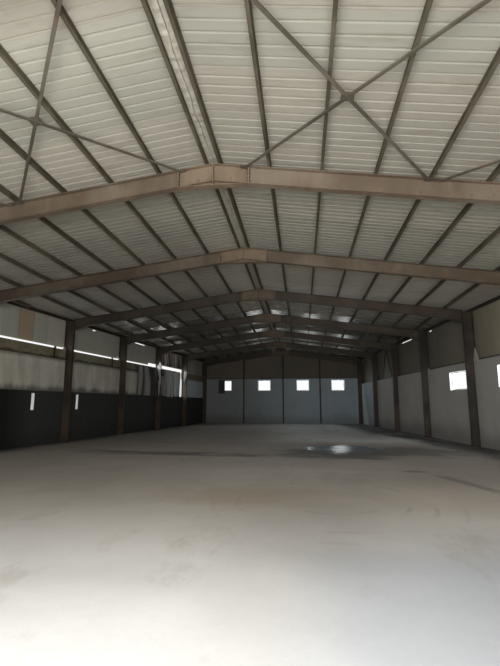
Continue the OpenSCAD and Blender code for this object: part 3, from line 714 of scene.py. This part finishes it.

# %% [markdown]
# The left wall shows its age. Its boards are streaked where water has run over them, pinkish in places and
# dark along both edges. Those in the last bay are pale and bluish, with brown above. The rail above is an
# olive brown with a dark drip edge. Streaks could be drawn one by one, but noise that is stretched upright
# makes them all, and a bit of noise in a height makes an edge ragged.

# %% Stained boards and the rail over them
def stained_boards():
    """Two greys in upright streaks, pink clouds, and edges that darken by the height."""
    f = Finish("stained_boards", specular=0.3)
    streak = f.noise(1.9, 5, stretch=(1, 1, 0.30), seed=4, rough=0.55)
    wide = f.noise(0.9, 3, stretch=(1, 1, 0.5), seed=14)
    fine = f.noise(18.0, 4, stretch=(1, 1, 0.3), seed=24, rough=0.7)
    high = f.z - floor_top
    colour = f.mix(f.step(streak, 0.34, 0.66), (0.50, 0.48, 0.42), (0.66, 0.63, 0.55))
    pink = f.noise(1.5, 4, seed=34)
    colour = f.mix(f.step(pink, 0.52, 0.66) * 0.5, colour, (0.60, 0.52, 0.44))
    colour = f.tone(colour, 0.70 + 0.45 * wide + 0.25 * (fine - 0.5))
    colour = f.mix(f.step(high + 0.5 * (streak - 0.5), 2.28, 2.02) * 0.8, colour, (0.10, 0.095, 0.08))
    colour = f.mix(f.step(high - 0.25 * (fine - 0.5), 3.14, 3.26) * 0.6, colour, (0.12, 0.11, 0.085))
    # the last bay's boards are pale and bluish below and brown above
    rear = f.step(f.y, frame_y(7) - 0.1, frame_y(7))
    last_bay_tones = f.mix(f.step(high, 3.15, 3.35), (0.60, 0.66, 0.70), (0.24, 0.185, 0.13))
    colour = f.mix(rear, colour, last_bay_tones)
    f.bump(fine + streak, 0.003)
    return f.finish(colour, 0.72)


def faded_rail():
    """Two olives in clouds, with blots and a ragged dark lower edge."""
    f = Finish("faded_rail", specular=0.3)
    cloud = f.noise(1.8, 4, seed=6)
    fine = f.noise(20.0, 4, stretch=(1, 0.2, 1), seed=16)
    high = f.z - floor_top
    colour = f.mix(f.step(cloud, 0.35, 0.65), (0.235, 0.20, 0.13), (0.31, 0.285, 0.19))
    blot = f.noise(2.4, 5, stretch=(1, 1, 0.6), seed=26, rough=0.65)
    colour = f.tone(colour, 0.85 + 0.35 * (fine - 0.5))
    colour = f.mix(f.step(high - 0.30 * (blot - 0.42), 3.37, 3.31) * 0.85, colour, (0.04, 0.034, 0.026))
    colour = f.mix(f.step(blot, 0.60, 0.70) * 0.6, colour, (0.10, 0.085, 0.06))
    f.bump(fine, 0.002)
    return f.finish(colour, 0.6)


dress(stained_boards(), "left_wall_panels")
dress(faded_rail(), "left_wall_rail")

# %% [markdown]
# Window frames are plain painted angles, and the first rear window is half shut with a dark board. They could
# have simpler finishes, but the steel's recipe serves as it is: a white with little rust, and a black.

# %% Window frames and the board
frame_paint = painted_steel("frame_paint", (0.78, 0.79, 0.77), (0.70, 0.68, 0.62), RUST, 0.15, 61)
dark_board = painted_steel("dark_board", (0.05, 0.048, 0.045), (0.14, 0.12, 0.10), (0.09, 0.06, 0.04),
                           0.3, 73)
dress(frame_paint, "rear_window_frames", "right_window_frames", "front_window_frames")
dress(dark_board, "rear_window_board")

# %% [markdown]
# The small ironwork repeats hundreds of times. Each bolt could be an object of its own, but thousands of
# objects are slow to draw and to export. So each kind is one joined mesh: a small shape with a few faces,
# set at many places by array arithmetic. A spot is a place and three directions that turn the shape.

# %% Mesh helpers
TURN_UP = np.eye(3)


def new_piece(name, verts, faces, material, slot):
    """A mesh object in the hall's own frame, riding on the building."""
    mesh = bpy.data.meshes.new(name)
    mesh.from_pydata(np.asarray(verts, float).tolist(), [], faces)
    mesh.materials.append(material)
    mesh.update()
    piece = bpy.data.objects.new(name, mesh)
    bpy.context.scene.collection.objects.link(piece)
    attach(piece, "root")
    print(f"{name}: {len(mesh.polygons)} faces")
    return piece


def copies(shape, spots, turns):
    """Each copy is the shape's corners times its three directions, plus its spot."""
    corners, faces = shape
    spots = np.asarray(spots, float)
    turns = np.broadcast_to(turns, (len(spots), 3, 3))
    verts = np.einsum("mk,nkj->nmj", corners, turns) + spots[:, None, :]
    first = np.arange(len(spots))[:, None] * len(corners)
    made = [face for f in faces for face in (first + np.asarray(f)[None, :]).tolist()]
    return verts.reshape(-1, 3), made


def joined(*parts):
    """Several sets of corners and faces as one."""
    verts, faces, start = [], [], 0
    for corners, rows in parts:
        verts.append(corners)
        faces += [[i + start for i in row] for row in rows]
        start += len(corners)
    return np.concatenate(verts), faces


def box_shape(size):
    """A block of that size, standing on the spot."""
    grid = np.array([(i - 0.5, j - 0.5, k) for k in (0, 1) for j in (0, 1) for i in (0, 1)], float)
    faces = [(0, 2, 3, 1), (4, 5, 7, 6), (0, 1, 5, 4), (2, 6, 7, 3), (0, 4, 6, 2), (1, 3, 7, 5)]
    return grid * np.asarray(size), faces


def bolt_shape(radius, height, washer=1.5):
    """A six-sided head on a round washer, built up along the third direction."""
    a = np.arange(6) * math.pi / 3
    ring = np.stack([np.cos(a), np.sin(a), 0 * a], 1)
    rise = np.array([0, 0, 1.0])
    wide = washer * radius
    step = 0.2 * height
    levels = [(wide, 0), (wide, step), (radius, step), (radius, height)]
    corners = np.concatenate([ring * r + rise * h for r, h in levels])
    sides = [(6 * k + i, 6 * k + (i + 1) % 6, 6 * k + 6 + (i + 1) % 6, 6 * k + 6 + i)
             for k in range(3) for i in range(6)]
    return corners, sides + [tuple(range(5, -1, -1)), tuple(range(18, 24))]


def facing(direction):
    """Three directions whose third is the given one."""
    third = np.asarray(direction, float) / np.linalg.norm(direction)
    helper = np.array([0, 0, 1.0]) if abs(third[2]) < 0.9 else np.array([0, 1.0, 0])
    first = np.cross(helper, third)
    first /= np.linalg.norm(first)
    return np.stack([first, np.cross(third, first), third])


print("faces of a bolt:", len(bolt_shape(1.0, 1.0)[1]), "and of a block:", len(box_shape((1, 1, 1))[1]))

# %% [markdown]
# Each frame is bolted together from parts that were lifted in one by one: end plates at the two ends of the
# ridge piece and at the column heads, and base plates on the floor. Rows of hexagon heads on the plates are
# what shows. A bump could stand for them from afar, but close up a head needs its own edge and shadow.

# %% Bolts of the frames
BOLT = bolt_shape(0.017, 0.016)
BOLT_GAUGE = 0.048          # from the web to a row of bolts
FOOT_GAUGE = 0.04           # and to the bolts of a base plate
BASE_T = 0.02


def plate_bolts(x_plate, y, z_low, z_high, toward):
    """Two rows of four bolts in an upright plate."""
    z = np.linspace(z_low, z_high, 4)
    spots = [(x_plate, y + s * BOLT_GAUGE, h) for s in (-1, 1) for h in z]
    return copies(BOLT, spots, facing((toward, 0, 0)))


def frame_bolts():
    """At each frame and side: both faces of the ridge plate, the column head's plate and the base plate."""
    parts = []
    for n in range(BAYS + 1):
        y = frame_y(n)
        for side in (-1, 1):
            end = rafter_top(APEX_HALF, y) - 0.02
            low = end - RAFTER_D + 0.075
            parts.append(plate_bolts(side * (APEX_HALF - PLATE_T), y, low, end - 0.055, -side))
            parts.append(plate_bolts(side * (APEX_HALF + PLATE_T), y, low, end - 0.055, side))
            knee = half_at(y) - COLUMN_D - taper * COLUMN_W / 2 - 0.001
            top = rafter_top(knee, y)
            parts.append(plate_bolts(side * (knee - PLATE_T), y, top - RAFTER_D - 0.05, top - 0.07, -side))
            foot = [(side * (knee - 0.03), y + s * FOOT_GAUGE, floor_top + BASE_T) for s in (-1, 1)]
            parts.append(copies(BOLT, foot, TURN_UP))
    return joined(*parts)


new_piece("frame_bolts", *frame_bolts(), column_steel, "frame_steel")

# %% [markdown]
# Purlins are held to the rafters by cleats, short upright plates bolted to the purlin's web. They are small
# and high up, and could be left out, but a row of them gives each crossing the slight thickening that the
# eye expects.

# %% Purlin cleats
CLEAT = box_shape((0.006, 0.10, 0.095))
SMALL_BOLT = bolt_shape(0.011, 0.010)
PURLIN_ROWS = [PURLIN_FIRST + k * PURLIN_GAP for k in range(PURLIN_COUNT)]
RIDGE_PURLIN = 0.13


def purlin_cleats():
    """A plate with two bolts where each purlin crosses each frame, standing on the rafter."""
    spots, heads = [], []
    for n in range(BAYS + 1):
        y = frame_y(n)
        for side in (-1, 1):
            for x in [RIDGE_PURLIN] + PURLIN_ROWS:
                if x > half_at(y) - 0.3:
                    continue
                z = rafter_top(x, y) + 0.010
                spots.append((side * (x - 0.008), y, z))
                heads += [(side * (x - 0.011), y + shift, z + 0.05) for shift in (-0.03, 0.03)]
    inward = [facing((-math.copysign(1, spot[0]), 0, 0)) for spot in heads]
    return joined(copies(CLEAT, spots, TURN_UP), copies(SMALL_BOLT, heads, np.array(inward)))


new_piece("purlin_cleats", *purlin_cleats(), purlin_steel, "purlin_steel")

# %% [markdown]
# From outside, a roof of this kind is dotted with screws, one on every second rib over each purlin. Dots in
# the finish would be flat, and a few real heads cost little. They sit on the ribs, so their height follows
# the slope and the fall of the ridge.

# %% Roof screws
RIDGE_SCREWS = 0.31         # from the ridge to its row of screws
SCREW = bolt_shape(0.009, 0.008, 1.7)


def roof_screws():
    """Along y each second rib, across x each purlin, and up the sheets' underside plus a rib."""
    ribs = math.ceil((2 * gable_out + 0.1) / RIB_PITCH)
    rows = (np.arange(0, ribs, 2) + 1 - ribs / 2) * RIB_PITCH - RIB_SHIFT
    spots = []
    for x in [RIDGE_SCREWS] + PURLIN_ROWS:
        y = rows[half_at(rows) - 0.25 > x]
        lift = RIB_TALL * math.hypot(1, SLOPE)
        for side in (-1, 1):
            spots.append(np.stack([0 * y + side * x, y, sheet_z(x, y) + lift - 0.001], 1))
    spots = np.concatenate(spots)
    turns = [facing((math.copysign(SLOPE, s[0]), SLOPE * taper, 1)) for s in spots]
    return copies(SCREW, spots, np.array(turns))


new_piece("roof_screws", *roof_screws(), frame_paint, "roof_sheet")

# %% [markdown]
# Along the ridge a thin pale strip was pushed up between the two ridge purlins to close the joint. It has
# been crumpled by hand: it follows the ends of the ribs in small waves, and its two halves don't quite meet.
# A flat strip with a bump would keep a straight edge, so it is two surfaces of two parameters, along the
# ridge and across it, with the waves and some random creases in the height. A Solidify modifier gives them
# their thickness.

# %% Crumpled strip at the ridge
STRIP_EDGE = 0.112          # from the middle to the purlins
STRIP_STEPS = 1100
STRIP_ROWS = 9
RIDGE_RUN = gable_in - 0.02


def wander(t, knots, size, seed):
    """Smooth random wandering: random values at evenly spaced knots, joined by a smooth curve."""
    rng = np.random.default_rng(seed)
    values = rng.uniform(-1, 1, knots + 1)
    place = np.clip(t, 0, 1) * knots
    low = np.minimum(place.astype(int), knots - 1)
    part = place - low
    ease = part * part * (3 - 2 * part)
    return size * (values[low] * (1 - ease) + values[low + 1] * ease)


def sheet_faces(rows, cols, flip=False):
    """Quads of a grid of points, row by row."""
    a = np.arange(rows - 1)[:, None] * cols + np.arange(cols - 1)[None, :]
    quads = np.stack([a, a + 1, a + cols + 1, a + cols], -1).reshape(-1, 4)
    return (quads[:, ::-1] if flip else quads).tolist()


def ridge_strip(side):
    """Across from a purlin to a wandering seam. Height = sheets less 22 mm, plus waves and creases."""
    t = np.linspace(0, 1, STRIP_STEPS)[:, None]
    v = np.linspace(0, 1, STRIP_ROWS)[None, :]
    y = (2 * t - 1) * RIDGE_RUN
    seam = -0.010 + wander(t, 90, 0.022, 5) + side * (0.003 + np.abs(wander(t, 300, 0.007, 7 + side)))
    x = side * STRIP_EDGE * (1 - v) + seam * v
    wave = 0.007 * np.abs(np.sin(math.pi * y / RIB_PITCH)) * np.sin(math.pi * v) ** 0.5
    creases = wander(t, 700, 0.006, 11 + side) * v + wander(t, 420, 0.007, 17 + side) * v * (1 - v) * 3
    z = sheet_z(STRIP_EDGE, y) - 0.022 + wave + creases
    points = np.stack(np.broadcast_arrays(x, y, z), -1).reshape(-1, 3)
    return points, sheet_faces(STRIP_STEPS, STRIP_ROWS, flip=side > 0)


strip = new_piece("ridge_strip", *joined(ridge_strip(-1), ridge_strip(1)), ridge_sheet, "ridge_sheet")
thin = strip.modifiers.new("thickness", "SOLIDIFY")
thin.thickness = 0.0015
thin.offset = 1.0

# %% [markdown]
# In the rear bays the left wall has come loose, and bent sheets hang over its panels and over the slot of
# daylight. They could be simulated as cloth, but steel keeps its creases, and a formula gives the same sheet
# each time. Each is a surface of two parameters, along the wall and up it. Its depth is a row of folds of
# uneven width, which grow flatter toward the foot, and its edges are ragged. Narrow torn strips hang across
# two of the columns.

# %% Bent sheets on the left wall
SHEET_ROWS = 25
FLAP_COLS = 9
FOLD_COLS = 14              # quads across a fold


def bent_sheet(y0, y1, inset, z0, z1, folds, depth, seed, fan):
    """Depth = folds whose phase wanders along and up the sheet, flatter by the fan's share at the foot."""
    rng = np.random.default_rng(seed)
    cols = folds * FOLD_COLS + 1
    u = np.linspace(0, 1, cols)[None, :]
    v = np.linspace(0, 1, SHEET_ROWS)[:, None]
    phase = 2 * math.pi * folds * u + wander(u, folds * 2, 1.3, seed) + 0.8 * np.sin(3 * v + seed)
    uneven = 0.55 + 0.45 * np.sin(2 * math.pi * rng.uniform(1.5, 2.5) * u + rng.uniform(0, 6))
    swell = 1 - fan * (1 - v)
    out = depth * np.abs(np.sin(phase / 2)) ** 0.8 * (0.35 + 0.65 * np.abs(uneven)) * swell
    y = y0 + (y1 - y0) * u + 0.03 * np.sin(4 * v + 9 * u + seed)
    edge = wander(u, folds * 3, 0.05, seed + 1)
    z = floor_top + z0 + edge + (z1 - z0 - 2 * edge) * v
    x = -(half_at(y) - inset - 0.006 - out)
    points = np.stack(np.broadcast_arrays(x, y, z), -1).reshape(-1, 3)
    return points, sheet_faces(SHEET_ROWS, cols)


def flap(y, inset, z0, z1, seed):
    """A torn strip across a column's near side: its width is a wedge each way, ragged by a random wander."""
    u = np.linspace(0, 1, FLAP_COLS)[None, :]
    v = np.linspace(0, 1, SHEET_ROWS)[:, None]
    width = (0.06 + 0.94 * np.minimum(v / 0.62, (1 - v) / 0.38)) * (1 + wander(v, 9, 0.35, seed)) * 0.5
    middle = 0.45 + 0.40 * (v - 0.5) + wander(v, 6, 0.12, seed + 1)
    across = np.clip(middle + (2 * u - 1) * width, 0, 1)
    x = -(half_at(y) - inset[0] - (inset[1] - inset[0]) * across)
    depth = y - 0.012 - 0.02 * np.abs(np.sin(5 * u + 4 * v + seed))
    z = floor_top + z0 + (z1 - z0) * v + 0 * u
    points = np.stack(np.broadcast_arrays(x, depth, z), -1).reshape(-1, 3)
    return points, sheet_faces(SHEET_ROWS, FLAP_COLS)


print(f"{SHEET_ROWS} rows to a sheet, {FOLD_COLS} quads to a fold")

# %% [markdown]
# The sheets are pale on the crests of their folds and dark in the valleys. Light alone would shade them so,
# but the hall is dim there, and the folds are only a hand deep. So the finish reads each point's distance
# from the wall and darkens what lies close to it.

# %% Finish of the bent sheets
TORN_SPANS = ((8.86, 8.93), (13.36, 13.43))     # just before two columns


def bent_finish():
    """Pale on the folds' crests and dark in their valleys, by the distance from the wall."""
    f = Finish("bent_sheet", specular=0.35)
    high = f.z - floor_top
    over = f.step(high, 3.93, 3.96)
    crest = middle_half - taper * f.y - f.x.abs() - WALL_PROUD * (1.0 - over)
    cloud = f.noise(1.3, 4, seed=8, rough=0.6)
    streak = f.noise(5.0, 4, stretch=(1, 1, 0.2), seed=18)
    low_tone = f.mix(f.step(f.y, 9.5, 11.5), (0.34, 0.33, 0.31), (0.66, 0.70, 0.66))
    colour = f.mix(over, low_tone, (0.62, 0.54, 0.49))
    colour = f.tone(colour, 0.65 + 0.5 * streak + 0.4 * (cloud - 0.5))
    colour = f.mix(f.step(crest, 0.060, 0.018) * 0.92, colour, (0.03, 0.028, 0.026))
    # painted shade: a dark slanting band along a crease of the first low sheet
    colour = f.mix(f.band(f.y + 0.4 * (high - 2.8), 7.75, 8.75, 0.15) * 0.9, colour, (0.02, 0.02, 0.02))
    torn = [f.band(f.y, *span, 0.01) for span in TORN_SPANS]
    pale = f.mix(f.step(high, 2.9, 3.3), (0.50, 0.50, 0.46), (0.60, 0.585, 0.54))
    pale = f.tone(pale, (0.70 + 0.6 * (cloud - 0.3)) * (1.0 - 0.55 * f.step(f.y, 11.0, 12.0)))
    colour = f.mix(torn[0].most(torn[1]), colour, pale)
    f.bump(streak, 0.004)
    return f.finish(colour, 0.5 + 0.3 * cloud)


bent_paint = bent_finish()
print("torn strips at", TORN_SPANS)

# %% [markdown]
# Two sheets hang below the slot and one over it, with three torn strips beside them. They are joined to one
# piece, which stands for the frame's plain node there, and Solidify makes them 2 mm thick.

# %% Hanging the bent sheets
LOW = (2.0, 3.64)           # heights over the floor
OVER = (3.97, 4.86)
loose = joined(
    bent_sheet(6.21, 8.83, WALL_PROUD, *LOW, 3, 0.170, 3, fan=0.4),
    bent_sheet(9.79, 12.73, WALL_PROUD, *LOW, 5, 0.170, 4, fan=0.3),
    bent_sheet(9.61, 13.28, 0.0, *OVER, 8, 0.110, 5, fan=0.6),
    flap(frame_y(6) - COLUMN_W / 2, (0.12, 0.42), 3.20, 4.05, 6),
    flap(frame_y(6) - COLUMN_W / 2, (0.22, 0.40), 1.95, 3.50, 7),
    flap(frame_y(7) - COLUMN_W / 2, (0.14, 0.40), 3.00, 3.95, 9),
)
loose_piece = new_piece("bent_sheets", *loose, bent_paint, "loose_sheet")
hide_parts("left_loose_sheets")
thick = loose_piece.modifiers.new("thickness", "SOLIDIFY")
thick.thickness = 0.002

# %% [markdown]
# Two flat straps stand against the rail where struts cross the slot of daylight. A block each is enough, as
# they are thin, plain and seen from afar.

# %% Straps on the rail
STRAPS = np.array([-0.57, 3.86])
STRAP_FOOT = 3.27           # over the floor
face_x = -(half_at(STRAPS) - WALL_PROUD)
places = np.stack([face_x, STRAPS - 0.26, 0 * STRAPS + floor_top + STRAP_FOOT], 1)
straps = copies(box_shape((0.012, 0.12, 0.44)), places, TURN_UP)
new_piece("rail_straps", *straps, column_steel, "green_rail")

# %% [markdown]
# Where a column passes the ledge of the block wall, a mason has filled the corner with a lump of mortar. It
# could be sculpted, but a small cone with a ragged edge reads as mortar at this size. It stands against the
# column, wider along the wall than across it.

# %% Mortar in the corners of the ledge
LUMP_SIDES = 12
LUMP_RINGS = 5


def mortar_lump(side, n, ledge):
    """A cone whose reach at each angle is an ellipse's times a random factor."""
    rng = np.random.default_rng(40 + n + 20 * (side > 0))
    y = frame_y(n) - COLUMN_W / 2 + 0.01
    x = half_at(y) - 0.05
    high = (0.46 if (side, n) == (1, 4) else 0.16) * (1 + 0.15 * rng.uniform(-1, 1))
    angle = np.arange(LUMP_SIDES) * math.pi / 6
    levels = np.linspace(0, 1, LUMP_RINGS)[:, None]
    reach = (1 - levels) ** 0.8 * (1 + 0.18 * rng.uniform(-1, 1, (LUMP_RINGS, LUMP_SIDES)))
    px = x + 0.055 * np.cos(angle) * reach
    py = y + (0.15 + 0.35 * high) * np.minimum(np.sin(angle), 0.15) * reach
    pz = floor_top + ledge + high * levels + 0 * reach
    points = np.stack([side * px, py, pz], -1).reshape(-1, 3)
    turn = range(LUMP_SIDES)
    last = LUMP_SIDES * (LUMP_RINGS - 1)
    pairs = [(k + i, k + (i + 1) % LUMP_SIDES) for k in range(0, last, LUMP_SIDES) for i in turn]
    quads = [[a, b, b + LUMP_SIDES, a + LUMP_SIDES] for a, b in pairs]
    faces = quads + [list(reversed(turn)), [last + i for i in turn]]
    return points, (faces if side > 0 else [face[::-1] for face in faces])


def mortar():
    """Pale and coarse: one grain for the tone and the bump."""
    f = Finish("mortar", specular=0.2)
    grain = f.noise(40.0, 4, seed=3)
    f.bump(grain, 0.003)
    return f.finish(f.tone((0.52, 0.49, 0.43), 0.75 + 0.5 * grain), 0.9)


ledges = ((1, LEDGE_RIGHT), (-1, LEDGE_LEFT))
lumps = [mortar_lump(side, n, ledge) for side, ledge in ledges for n in (3, 4, 5)]
new_piece("mortar_lumps", *joined(*lumps), mortar(), "block_wall")

# %% [markdown]
# The stage is a plain pale floor round the hall, and the background is white. The white could be a strong
# world light, but that would bleach the walls, so it shows only to the eye and in reflections, and the
# surfaces get a plain grey daylight.

# %% Stage and white world
STAGE_REACH = 400.0
GREY_DAYLIGHT = 0.75


def stage_floor():
    """A flat square, just under the hall's foot."""
    mesh = bpy.data.meshes.new("stage_floor")
    corners = [(x * STAGE_REACH, y * STAGE_REACH, -0.002) for x, y in ((-1, -1), (1, -1), (1, 1), (-1, 1))]
    mesh.from_pydata(corners, [], [(0, 1, 2, 3)])
    plain = Finish("stage_pale")
    mesh.materials.append(plain.finish((0.80, 0.80, 0.79, 1.0), 0.9))
    ground = bpy.data.objects.new("stage_floor", mesh)
    bpy.context.scene.collection.objects.link(ground)


def white_world(daylight):
    """White to the eye and in reflections, and a plain grey daylight on surfaces."""
    world = bpy.data.worlds.new("world")
    world.use_nodes = True
    tree = world.node_tree
    tree.nodes.clear()
    path, seen, both, light, white, choose, out = (tree.nodes.new(kind) for kind in (
        "ShaderNodeLightPath", "ShaderNodeMath", "ShaderNodeMath", "ShaderNodeBackground",
        "ShaderNodeBackground", "ShaderNodeMixShader", "ShaderNodeOutputWorld"))
    seen.operation = both.operation = "ADD"
    both.use_clamp = True
    white.inputs["Color"].default_value = (1.0, 1.0, 1.0, 1.0)
    light.inputs["Color"].default_value = (0.93, 0.97, 1.0, 1.0)
    light.inputs["Strength"].default_value = daylight
    for source, output, target, place in (
            (path, "Is Camera Ray", seen, 0), (path, "Is Glossy Ray", seen, 1), (seen, 0, both, 0),
            (path, "Is Transmission Ray", both, 1), (both, 0, choose, 0), (light, 0, choose, 1),
            (white, 0, choose, 2), (choose, 0, out, 0)):
        tree.links.new(source.outputs[output], target.inputs[place])
    bpy.context.scene.world = world


stage_floor()
white_world(GREY_DAYLIGHT)
print(f"stage {2 * STAGE_REACH:.0f} m wide, grey daylight {GREY_DAYLIGHT}")

# %% [markdown]
# Inside, a hall is lit by its doorway and its windows. The world's light does come in through them, but such
# small openings leave a render grainy. So a soft lamp stands in each: a wide one just inside the doorway,
# behind the camera, and one as large as the opening in each window, in the gap and along the slot. Two weak
# ones stand for the light that the floor and the roof throw at each other. The sun only lights the outside.

# %% Soft lamps
DAYLIGHT = 6.0
SKY = (0.90, 0.96, 1.0)
GAP_SHARE = 0.35            # the upright gap's daylight, beside a window's


def soft_lamp(name, place, turn, size, radiance, colour):
    """An area lamp that the camera doesn't see. Its power is pi times its area times its radiance."""
    lamp = bpy.data.lights.new(name, "AREA")
    lamp.shape = "RECTANGLE"
    lamp.size, lamp.size_y = size
    lamp.energy = math.pi * size[0] * size[1] * radiance
    lamp.color = colour
    made = bpy.data.objects.new(name, lamp)
    made.location = place
    made.rotation_euler = turn
    made.visible_camera = False
    bpy.context.scene.collection.objects.link(made)
    print(f"{name}: {size[0]:.2f} by {size[1]:.2f} m, {lamp.energy:.1f} W")


soft_lamp("doorway_light", (1.0, -gable_in + 0.35, floor_top + 2.3), (math.pi / 2, 0, 0), (7.0, 3.8), 10.0,
          (1.0, 0.99, 0.96))
soft_lamp("floor_bounce", (0, -2.0, floor_top + 0.25), (math.pi, 0, 0), (14.0, 30.0), 0.02,
          (1.0, 0.97, 0.92))
soft_lamp("roof_bounce", (0, 0.0, floor_top + 4.4), (0, 0, 0), (12.0, 34.0), 0.03, (0.96, 0.98, 1.0))


def opening_lamp(name, side, y_span, z_span, out=WALL_OUT, radiance=DAYLIGHT):
    """Daylight in an opening of a side wall: a lamp as large as the opening, so far outside the cladding."""
    y = sum(y_span) / 2
    place = (side * (half_at(y) + out), y, sum(z_span) / 2)
    size = (z_span[1] - z_span[0], y_span[1] - y_span[0])
    soft_lamp(name, place, (0, side * math.pi / 2, side * math.atan(taper)), size, radiance, SKY)


# %% [markdown]
# The record lists the openings with their boxes, so the lamps find their places by name. Only the slot's two
# lengths are given here.

# %% Daylight in the openings
SLOT_LOW = floor_top + LEDGE_LEFT
SLOT_PARTS = {"slot_light": (-gable_in, 7.9, 0.10), "loose_slot_light": (7.9, 13.4, 0.22)}
for name, (start, end, tall) in SLOT_PARTS.items():
    opening_lamp(name, -1, (start, end), (SLOT_LOW, SLOT_LOW + tall), -0.01)
for opening in frame["record"]["physics"]["openings"]:
    low, high = opening["box_m"]
    name = opening["name"] + "_light"
    if "right_window" in name or "left_open_gap" in name:
        share = GAP_SHARE if "gap" in name else 1.0
        side = math.copysign(1, low[0])
        opening_lamp(name, side, (low[1], high[1]), (low[2], high[2]), radiance=share * DAYLIGHT)
    elif "rear_window" in name:
        middle = ((low[0] + high[0]) / 2, gable_out, (low[2] + high[2]) / 2)
        size = (high[0] - low[0], high[2] - low[2])
        soft_lamp(name, middle, (-math.pi / 2, 0, 0), size, DAYLIGHT, SKY)
sun = bpy.data.lights.new("soft_sun", "SUN")
sun.energy = 1.2
sun.angle = math.radians(40)
sun_object = bpy.data.objects.new("soft_sun", sun)
sun_object.rotation_euler = (math.radians(38), math.radians(12), math.radians(-25))
bpy.context.scene.collection.objects.link(sun_object)
print(f"soft_sun: {sun.energy:.1f} W/m2, {math.degrees(sun.angle):.0f} degrees wide")

# %% [markdown]
# The camera stands just inside the doorway at eye height, a little right of the middle, and looks up the
# hall and slightly to the left. The long side of the picture is upright, so the lens is measured against
# that side.

# %% Camera
EYE = (1.642, -16.807, floor_top + 1.5)
PITCH = 0.1625
YAW = 0.1171
FOCAL_PX = 434.0
PICTURE_H = 666.0
SENSOR = 36.0
camera = bpy.data.cameras.new("eye")
camera.sensor_width = SENSOR
camera.lens = FOCAL_PX / PICTURE_H * SENSOR
camera.clip_end = 2000.0
eye = bpy.data.objects.new("eye", camera)
eye.location = EYE
eye.rotation_euler = (math.pi / 2 + PITCH, 0, YAW)
bpy.context.scene.collection.objects.link(eye)
bpy.context.scene.camera = eye
bpy.context.scene.view_settings.view_transform = "Standard"
print(f"lens {camera.lens:.2f} mm at {EYE}")
